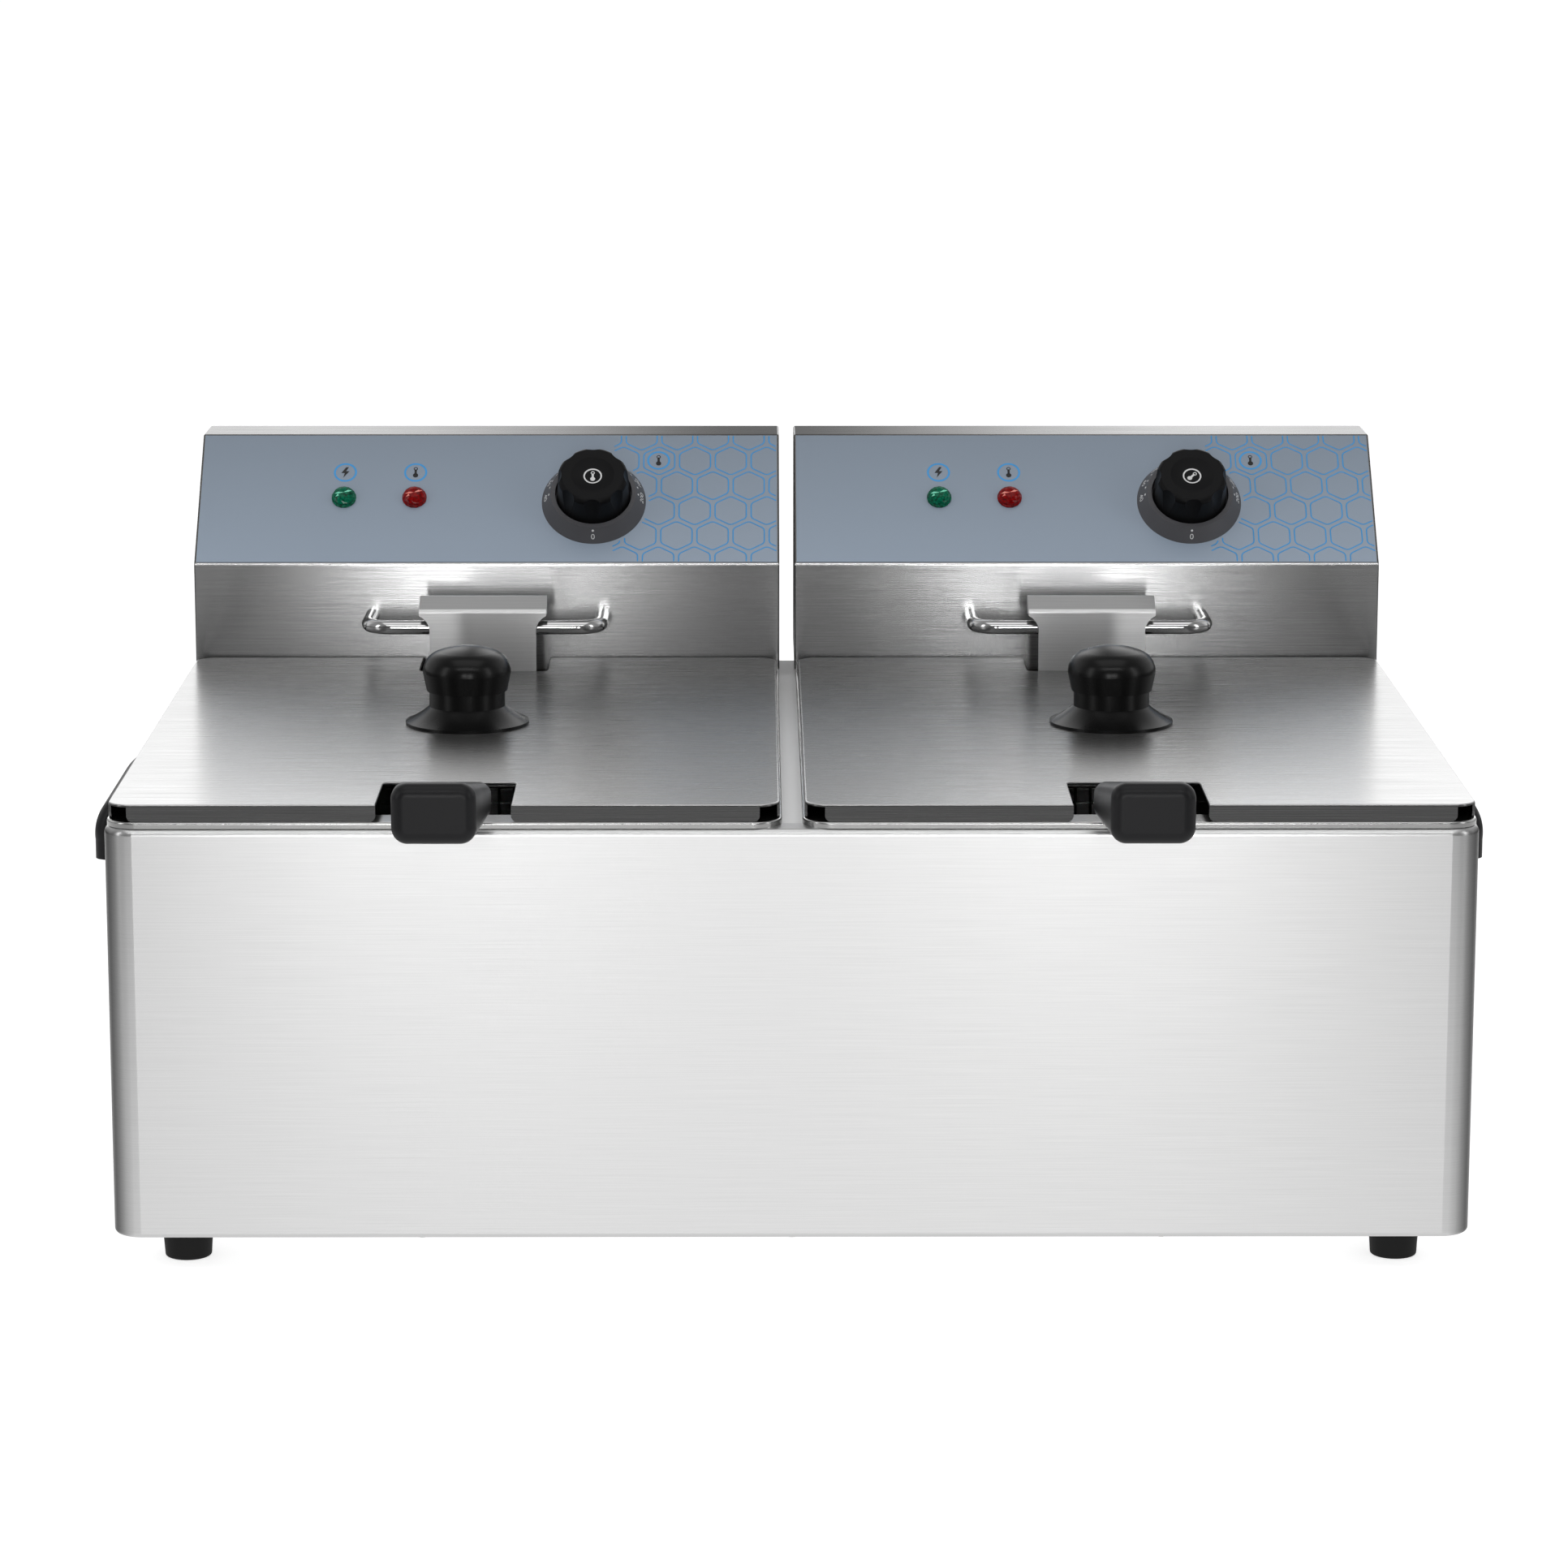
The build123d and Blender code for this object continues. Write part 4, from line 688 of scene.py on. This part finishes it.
def honeycomb_tree():
    """Rounded hexagons on a staggered grid, cut off at the film's edges and around the dial and sign."""
    tree, given, result = new_tree(
        "honeycomb_print",
        {
            "Cell Radius": "Float", "Corner": "Float", "Line Radius": "Float",
            "Columns": "Int", "Rows": "Int", "Low": "Vector", "High": "Vector",
            "Dial": "Vector", "Dial Radius": "Float", "Sign": "Vector", "Sign Radius": "Float",
            "Flatten": "Float", "Material": "Material",
        },
    )
    size = given.outputs
    sums = partial(calc, tree)

    def vectors(operation, first, second, output="Vector"):
        made = add(tree, "ShaderNodeVectorMath", {0: first, 1: second}, operation=operation)
        return made.outputs[output]

    step_x = sums("MULTIPLY", size["Cell Radius"], 2.0)
    step_y = sums("MULTIPLY", size["Cell Radius"], math.sqrt(3))
    grid = add(
        tree,
        "GeometryNodeMeshGrid",
        {
            "Size X": sums("MULTIPLY", step_x, sums("SUBTRACT", size["Columns"], 1.0)),
            "Size Y": sums("MULTIPLY", step_y, sums("SUBTRACT", size["Rows"], 1.0)),
            "Vertices X": size["Columns"],
            "Vertices Y": size["Rows"],
        },
    ).outputs["Mesh"]
    place = add(tree, "GeometryNodeInputPosition").outputs[0]
    row = sums("ROUND", sums("DIVIDE", split(tree, place)["Y"], step_y))
    odd = sums("ABSOLUTE", sums("MODULO", row, 2.0))
    shift = join(tree, X=sums("MULTIPLY", odd, size["Cell Radius"]))
    middle = scaled(tree, vectors("ADD", size["Low"], size["High"]), 0.5)
    staggered = add(
        tree, "GeometryNodeSetPosition", {"Geometry": grid, "Offset": vectors("ADD", shift, middle)}
    ).outputs[0]
    cell = add(tree, "GeometryNodeCurvePrimitiveCircle", {"Resolution": 6, "Radius": size["Cell Radius"]})
    rounded = add(
        tree,
        "GeometryNodeFilletCurve",
        {"Curve": cell.outputs["Curve"], "Radius": size["Corner"], "Count": CORNER_STEPS},
        mode="POLY",
    ).outputs["Curve"]
    cells = add(
        tree,
        "GeometryNodeInstanceOnPoints",
        {"Points": staggered, "Instance": rounded, "Rotation": (0, 0, math.pi / 6)},
    ).outputs["Instances"]
    outlines = add(tree, "GeometryNodeRealizeInstances", {"Geometry": cells}).outputs["Geometry"]
    beads = add(tree, "GeometryNodeResampleCurve", {"Curve": outlines, "Length": BEAD_STEP}, mode="LENGTH")
    edges = add(tree, "GeometryNodeCurveToMesh", {"Curve": beads.outputs["Curve"]}).outputs["Mesh"]
    past_low = vectors("SUBTRACT", place, size["Low"])
    short_of_high = vectors("SUBTRACT", size["High"], place)
    room = split(tree, vectors("MINIMUM", past_low, short_of_high))
    inside = sums("MINIMUM", room["X"], room["Y"])
    for centre, reach in (("Dial", "Dial Radius"), ("Sign", "Sign Radius")):
        away = vectors("DISTANCE", place, size[centre], "Value")
        inside = sums("MINIMUM", inside, sums("SUBTRACT", away, size[reach]))
    outside = sums("LESS_THAN", inside, 0.0)
    kept = add(
        tree, "GeometryNodeDeleteGeometry", {"Geometry": edges, "Selection": outside}, domain="POINT"
    ).outputs["Geometry"]
    strands = add(tree, "GeometryNodeMeshToCurve", {"Mesh": kept}).outputs["Curve"]
    lines = tubes(tree, strands, size["Line Radius"], LINE_SIDES)
    squeeze = join(tree, X=1.0, Y=1.0, Z=size["Flatten"])
    flat = add(tree, "GeometryNodeTransform", {"Geometry": lines, "Scale": squeeze}).outputs["Geometry"]
    finish_tree(tree, flat, size["Material"], result)
    return tree


honeycomb = honeycomb_tree()


def panel_print(side):
    low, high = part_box(f"{side}_panel_film")
    half_x = (high.x - low.x) / 2 / MM - PRINT_INSET
    half_y = (high - low).yz.length / 2 / MM - PRINT_INSET
    sizes = {
        "Cell Radius": CELL_RADIUS, "Corner": CELL_CORNER, "Line Radius": LINE_RADIUS,
        "Columns": CELL_COLUMNS, "Rows": CELL_ROWS,
        "Low": (PRINT_FROM, -half_y, 0), "High": (half_x, half_y, 0),
        "Dial": (film_x(side, f"{side}_dial_ring"), DIAL_Y, 0), "Dial Radius": DIAL_KEEP_OUT,
        "Sign": (*THIRD_SIGN, 0), "Sign Radius": SIGN_KEEP_OUT,
        "Flatten": LINE_FLATTEN, "Material": blue_ink,
    }
    mesh = grown(f"{side}_honeycomb", honeycomb, sizes)
    mesh.transform(film_place(side))
    piece(f"{side}_honeycomb", mesh, f"{side}_head")


for side in SIDES:
    panel_signs(side)
    panel_print(side)


# Dial scale and knob sign, in millimetres and degrees

RING_FOOT = 24.3
RING_TOP = 20.0
RING_HEIGHT = 7.0
NUMBER_SIZE = 3.8
NUMBER_FROM = 90.0
NUMBER_STEP = 22.5
NUMBERS = ("40", "60", "80", "100", "120", "140", "160", "180", "200")
NUMBER_UP = 0.42
DOT_UP = 0.8
DOT_RADIUS = 0.55
DOT_STEPS = 16
KNOB_DISH = 19.71
DISH_SPHERE = 34.08
KNOB_RING_OUTER = 4.3
KNOB_RING_INNER = 3.6
KNOB_SIGN_SIZE = 0.92


def word_mesh(text, size):
    """Flat text as a mesh, centred on the origin."""
    curve = bpy.data.curves.new("number", "FONT")
    curve.body = text
    curve.size = size
    curve.align_x = "CENTER"
    curve.align_y = "CENTER"
    curve.extrude = INK_RISE / 2
    holder = bpy.data.objects.new("number", curve)
    bpy.context.scene.collection.objects.link(holder)
    shown = holder.evaluated_get(bpy.context.evaluated_depsgraph_get())
    mesh = bpy.data.meshes.new_from_object(shown)
    bpy.data.objects.remove(holder)
    return mesh


def dial_place(side, height):
    """Places dial millimetres about the dial's axis, at a height off the film."""
    return film_place(side) @ Matrix.Translation((film_x(side, f"{side}_dial_ring"), DIAL_Y, height))


def on_cone(turn, share):
    """A place on the dial ring's slope: clockwise degrees from the bottom, and a share of the way up."""
    angle = math.radians(turn)
    out = Vector((-math.sin(angle), -math.cos(angle), 0))
    right = Vector((math.cos(angle), -math.sin(angle), 0))
    slope = out * (RING_TOP - RING_FOOT) + Vector((0, 0, RING_HEIGHT))
    up = slope.normalized()
    turned = Matrix((right, up, right.cross(up))).transposed().to_4x4()
    return Matrix.Translation(out * RING_FOOT + slope * share) @ turned


def dial_scale(side):
    scale = bmesh.new()
    marks = [("0", 0.0)] + [(text, NUMBER_FROM + NUMBER_STEP * i) for i, text in enumerate(NUMBERS)]
    for text, turn in marks:
        mesh = word_mesh(text, NUMBER_SIZE)
        mesh.transform(on_cone(turn, NUMBER_UP))
        scale.from_mesh(mesh)
        bpy.data.meshes.remove(mesh)
    dots = [turn for _, turn in marks]
    dots += [NUMBER_FROM + NUMBER_STEP * (i + 0.5) for i in range(len(NUMBERS) - 1)]
    for turn in dots:
        spot = bmesh.new()
        flat_shape(spot, disc((0, 0), DOT_RADIUS, DOT_STEPS))
        spot.transform(on_cone(turn, DOT_UP))
        mesh = bpy.data.meshes.new("dot")
        spot.to_mesh(mesh)
        spot.free()
        scale.from_mesh(mesh)
        bpy.data.meshes.remove(mesh)
    lay(f"{side}_dial_scale", scale, dial_place(side, 0), white_ink, f"{side}_head")


def knob_sign(side):
    """The sign in the knob's dish, curved to it."""
    sign = bmesh.new()
    flat_ring(sign, (0, 0), KNOB_RING_OUTER, KNOB_RING_INNER)
    thermometer(sign, (0, 0), KNOB_SIGN_SIZE)
    for vert in sign.verts:
        vert.co.z += DISH_SPHERE - math.sqrt(DISH_SPHERE**2 - vert.co.xy.length_squared)
    place = dial_place(side, KNOB_DISH) @ Matrix.Rotation(-math.radians(DIAL_TURN[side]), 4, "Z")
    lay(f"{side}_knob_sign", sign, place, white_ink, f"{side}_dial")


for side in SIDES:
    dial_scale(side)
    knob_sign(side)


# Faceted lamp lenses, in millimetres: the outline as radius and height, and the slanting row of facets with
# painted glints

LENS_PROFILE = ((5.75, 0.0), (5.75, 0.9), (5.35, 1.2), (5.1, 2.4), (4.2, 3.5), (2.6, 4.3))
LENS_SIDES = 14
LENS_TOP = 4.6
SPARK_SLANT = 0.4
SPARK_UP = 0.5
SPARK_HALF = 0.9
SPARK_REACH = 3.9


def lamp(side, colour, material, spark):
    """A moulded lens with a plain collar and a dome of flat facets, some with painted glints in a slanting
    row.
    """
    lens = bmesh.new()
    rings = []
    for row, (radius, height) in enumerate(LENS_PROFILE):
        turn = math.pi / LENS_SIDES * (row % 2)
        spots = [turn + 2 * math.pi * i / LENS_SIDES for i in range(LENS_SIDES)]
        rings.append([lens.verts.new((radius * math.cos(t), radius * math.sin(t), height)) for t in spots])
    for row, (lower, upper) in enumerate(zip(rings, rings[1:])):
        for i in range(LENS_SIDES):
            j = (i + 1) % LENS_SIDES
            if row % 2:
                lens.faces.new((lower[i], lower[j], upper[i]))
                lens.faces.new((lower[j], upper[j], upper[i]))
            else:
                lens.faces.new((lower[i], upper[i], upper[i - 1]))
                lens.faces.new((lower[i], lower[j], upper[i]))
    crown = lens.verts.new((0, 0, LENS_TOP))
    for i in range(LENS_SIDES):
        lens.faces.new((rings[-1][i], rings[-1][(i + 1) % LENS_SIDES], crown))
    lens.faces.new(list(reversed(rings[0])))
    # Facets in the slanting row get the painted glint
    for i, face in enumerate(lens.faces):
        middle = face.calc_center_median()
        off_row = abs(middle.y - SPARK_SLANT * middle.x - SPARK_UP)
        in_row = off_row < SPARK_HALF and middle.xy.length < SPARK_REACH
        face.material_index = int(in_row and i % 2 == 0)
    place = film_place(side) @ Matrix.Translation((film_x(side, f"{side}_{colour}_lamp"), 0, 0))
    made = lay(f"{side}_{colour}_lens", lens, place, material, f"{side}_head")
    made.data.materials.append(spark)
    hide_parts(f"{side}_{colour}_lamp")


for side in SIDES:
    lamp(side, "green", green_lens, green_painted_glint)
    lamp(side, "red", red_lens, red_painted_glint)


# Screws

# A pan head in radii of the head: its outline, and its cross recess
HEAD_OUTLINE = ((1.0, 0.0), (1.0, 0.22), (0.92, 0.42), (0.72, 0.56))
HEAD_SIDES = 20
CROSS_LONG = 0.52
CROSS_SLIM = 0.13
CROSS_TOP = 0.58
CROSS_FLOOR = 0.2
CROSS_TAPER = 0.8
# Where screws sit on the shell, feet and heads, and their head radii
REAR_INSET = 0.0195
REAR_PLACES = (-0.17, -0.06, 0.06, 0.17)
REAR_SCREW = 0.0034
BASE_INSET = 0.0095
BASE_SIDE_PLACES = (-0.1, 0.02, 0.14)
BASE_END_PLACES = (-0.15, 0.0, 0.15)
BASE_SCREW = 0.0032
FOOT_MIDDLE = 0.0108
FOOT_SEAT = 0.006
FOOT_SCREW = 0.0042
HEAD_INSET = 0.01
HEAD_INSET_LOW = 0.009
HEAD_INSET_TOP = 0.011
HEAD_SCREW = 0.003


def screw_head():
    """One pan head with a cross recess, of radius 1, its seat at the origin."""
    head = bmesh.new()
    rings = [
        [head.verts.new((x, y, height)) for x, y in disc((0, 0), radius, HEAD_SIDES)]
        for radius, height in HEAD_OUTLINE
    ]
    for lower, upper in zip(rings, rings[1:]):
        for i in range(HEAD_SIDES):
            j = (i + 1) % HEAD_SIDES
            head.faces.new((lower[i], lower[j], upper[j], upper[i]))
    head.faces.new(list(reversed(rings[0])))
    wide, slim = CROSS_LONG, CROSS_SLIM
    cross = (
        (wide, -slim), (wide, slim), (slim, slim), (slim, wide), (-slim, wide), (-slim, slim),
        (-wide, slim), (-wide, -slim), (-slim, -slim), (-slim, -wide), (slim, -wide), (slim, -slim),
    )
    brim = [head.verts.new((x, y, CROSS_TOP)) for x, y in cross]
    pit = [head.verts.new((x * CROSS_TAPER, y * CROSS_TAPER, CROSS_FLOOR)) for x, y in cross]
    count = len(cross)
    edges = [head.edges.new((brim[i], brim[(i + 1) % count])) for i in range(count)]
    edges += [head.edges.get((rings[-1][i], rings[-1][(i + 1) % HEAD_SIDES])) for i in range(HEAD_SIDES)]
    bmesh.ops.triangle_fill(head, use_beauty=True, edges=edges)
    for i in range(count):
        j = (i + 1) % count
        head.faces.new((brim[i], brim[j], pit[j], pit[i]))
    head.faces.new(pit)
    bmesh.ops.recalc_face_normals(head, faces=head.faces[:])
    mesh = bpy.data.meshes.new("screw_head")
    head.to_mesh(mesh)
    head.free()
    return bpy.data.objects.new("screw_head", mesh)


def screw_tree():
    """One screw head on each point, along the point's own facing, each turned its own way."""
    tree, given, result = new_tree(
        "screws", {"Head": "Object", "Head Radius": "Float", "Seed": "Int", "Material": "Material"}
    )
    facing = add(
        tree, "GeometryNodeInputNamedAttribute", {"Name": "facing"}, data_type="FLOAT_VECTOR"
    ).outputs[0]
    turn = add(
        tree,
        "FunctionNodeRandomValue",
        {2: 0.0, 3: math.pi, "Seed": given.outputs["Seed"]},
        data_type="FLOAT",
    ).outputs[1]
    spin = add(tree, "FunctionNodeAxisAngleToRotation", {"Axis": (0, 0, 1), "Angle": turn}).outputs[0]
    aligned = add(
        tree, "FunctionNodeAlignRotationToVector", {"Rotation": spin, "Vector": facing}, axis="Z"
    ).outputs[0]
    head = add(tree, "GeometryNodeObjectInfo", {"Object": given.outputs["Head"]}).outputs["Geometry"]
    placed = add(
        tree,
        "GeometryNodeInstanceOnPoints",
        {
            "Points": given.outputs["Geometry"], "Instance": head, "Rotation": aligned,
            "Scale": given.outputs["Head Radius"],
        },
    ).outputs["Instances"]
    finish_tree(tree, placed, given.outputs["Material"], result)
    return tree


screw_form = screw_head()
screws = screw_tree()


def screw_row(name, places, facing, radius, body, seed):
    """Screws at these places, all facing one way."""
    points = bpy.data.meshes.new(name)
    points.from_pydata([Vector(place) for place in places], [], [])
    attribute = points.attributes.new("facing", "FLOAT_VECTOR", "POINT")
    for item in attribute.data:
        item.vector = facing
    sizes = {"Head": screw_form, "Head Radius": radius, "Seed": seed, "Material": screw_steel}
    mesh = grown(name, screws, sizes, points)
    piece(name, mesh, body)


def rear_screws():
    low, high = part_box("cabinet_shell")
    left, right = low.x + REAR_INSET, high.x - REAR_INSET
    bottom, top = low.z + REAR_INSET, high.z - REAR_INSET
    spots = [(x, high.y, z) for x in (left, right) for z in (bottom, (bottom + top) / 2, top)]
    spots += [(x, high.y, z) for x in REAR_PLACES for z in (bottom, top)]
    screw_row("rear_screws", spots, (0, 1, 0), REAR_SCREW, "cabinet", 3)


def base_screws():
    low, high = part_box("cabinet_shell")
    left, right = low.x + BASE_INSET, high.x - BASE_INSET
    front, back = low.y + BASE_INSET, high.y - BASE_INSET
    spots = [(x, y, low.z) for x in (left, right) for y in BASE_SIDE_PLACES]
    spots += [(x, y, low.z) for x in BASE_END_PLACES for y in (front, back)]
    screw_row("base_screws", spots, (0, 0, -1), BASE_SCREW, "cabinet", 5)


def foot_screws():
    low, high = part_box("rubber_feet")
    left, right = low.x + FOOT_MIDDLE, high.x - FOOT_MIDDLE
    front, back = low.y + FOOT_MIDDLE, high.y - FOOT_MIDDLE
    spots = [(x, y, FOOT_SEAT) for x in (left, right) for y in (front, back)]
    screw_row("foot_screws", spots, (0, 0, -1), FOOT_SCREW, "cabinet", 7)


def head_screws(side):
    low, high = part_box(f"{side}_head_housing")
    left, right = low.x + HEAD_INSET, high.x - HEAD_INSET
    bottom, top = low.z + HEAD_INSET_LOW, high.z - HEAD_INSET_TOP
    spots = [(x, high.y, z) for x in (left, right) for z in (bottom, top)]
    screw_row(f"{side}_head_screws", spots, (0, 1, 0), HEAD_SCREW, f"{side}_head", 11)


rear_screws()
base_screws()
foot_screws()
for side in SIDES:
    head_screws(side)


# Studio

# Light from the room as the steel mirrors it: all round, from the front, and from the walls behind
ROOM_LIGHT = 0.3
FRONT_LIGHT = 0.09
WALL_LIGHT = 0.45
NEAR_WALL_LIGHT = 1.0
# Shares of the way that light comes, from where a region starts to where it is full
FRONT = (-0.6, -0.85)
OFF_MIDDLE = (0.01, 0.09)
BEHIND = (0.0, 0.2)
BELOW_TOP = (0.85, 0.5)
NEAR_MIDDLE = (0.5, 0.25)
FLOOR_HALF = 30.0
LIGHT_AIM = Vector((0, 0, 0.15))
# Name, place, width, height and power of each light
LIGHTS = (
    ("top_softbox", (0, -0.5, 2.6), 2.4, 1.6, 9.5),
    ("front_top_strip", (0, -1.5, 1.55), 1.8, 0.2, 5.0),
    ("left_strip", (-2.2, -1.2, 1.0), 0.5, 1.8, 6.0),
    ("right_strip", (2.2, -1.2, 1.0), 0.5, 1.8, 6.0),
    ("left_front_strip", (-0.26, -2.0, 0.36), 0.12, 0.7, 3.6),
    ("right_front_strip", (0.26, -2.0, 0.36), 0.12, 0.7, 3.6),
)
CAMERA_PLACE = (-0.01525, -2.1471, 0.5992)
CAMERA_TURN = (90 - 11.42, -0.04, -0.34)
CAMERA_LENS = 115.3
CAMERA_SENSOR = 36.0
CAMERA_REACH = 200.0


def studio_ground():
    half = FLOOR_HALF
    corners = [(-half, -half, 0), (half, -half, 0), (half, half, 0), (-half, half, 0)]
    ground = bpy.data.meshes.new("floor")
    ground.from_pydata(corners, [], [(0, 1, 2, 3)])
    ground.materials.append(studio_floor("pale_floor"))
    floor = bpy.data.objects.new("floor", ground)
    bpy.context.scene.collection.objects.link(floor)


def studio_room():
    """A white backdrop for the camera; in the steel, a grey room with bright walls behind to both sides."""
    world = bpy.data.worlds.new("studio")
    bpy.context.scene.world = world
    world.use_nodes = True
    tree = world.node_tree
    sky = tree.nodes["Background"]
    way = split(tree, add(tree, "ShaderNodeTexCoord").outputs["Generated"])
    sideways = calc(tree, "ABSOLUTE", way["X"])

    def region(strength, base, *limits):
        """Adds a strength to a base where each value is past its first limit, fully from its second on."""
        share = strength
        for value, (none, full) in limits:
            share = calc(tree, "MULTIPLY", share, ramp(tree, value, none, full))
        return calc(tree, "ADD", share, base)

    walls = ((sideways, OFF_MIDDLE), (way["Y"], BEHIND), (way["Z"], BELOW_TOP))
    lit = region(FRONT_LIGHT - ROOM_LIGHT, ROOM_LIGHT, (way["Y"], FRONT))
    lit = region(WALL_LIGHT, lit, *walls)
    lit = region(NEAR_WALL_LIGHT, lit, *walls, (sideways, NEAR_MIDDLE))
    seen = add(tree, "ShaderNodeLightPath").outputs["Is Camera Ray"]
    tree.links.new(choose(tree, seen, lit, 1.0), sky.inputs["Strength"])
    sky.inputs["Color"].default_value = (1.0, 1.0, 1.0, 1)


def studio_lights():
    """Area lights that the camera doesn't see; the low front strips skip the lids, where they'd glare."""
    lids = bpy.data.collections.new("lids_off_front_strips")
    for side in SIDES:
        lids.objects.link(nodes[f"{side}_lid_cover"])
    for item in lids.collection_objects:
        item.light_linking.link_state = "EXCLUDE"
    for name, spot, width, height, power in LIGHTS:
        light = bpy.data.lights.new(name, "AREA")
        light.shape = "RECTANGLE"
        light.size = width
        light.size_y = height
        light.energy = power
        lamp_object = bpy.data.objects.new(name, light)
        lamp_object.location = spot
        lamp_object.visible_camera = False
        if name.endswith("front_strip"):
            lamp_object.light_linking.receiver_collection = lids
        lamp_object.rotation_euler = (LIGHT_AIM - Vector(spot)).to_track_quat("-Z", "Y").to_euler()
        bpy.context.scene.collection.objects.link(lamp_object)


def camera():
    lens = bpy.data.cameras.new("camera")
    lens.sensor_width = CAMERA_SENSOR
    lens.lens = CAMERA_LENS
    lens.clip_end = CAMERA_REACH
    seat = bpy.data.objects.new("camera", lens)
    seat.location = CAMERA_PLACE
    seat.rotation_euler = [math.radians(turn) for turn in CAMERA_TURN]
    bpy.context.scene.collection.objects.link(seat)
    bpy.context.scene.camera = seat


studio_ground()
studio_room()
studio_lights()
camera()
bpy.context.scene.view_settings.view_transform = "Standard"
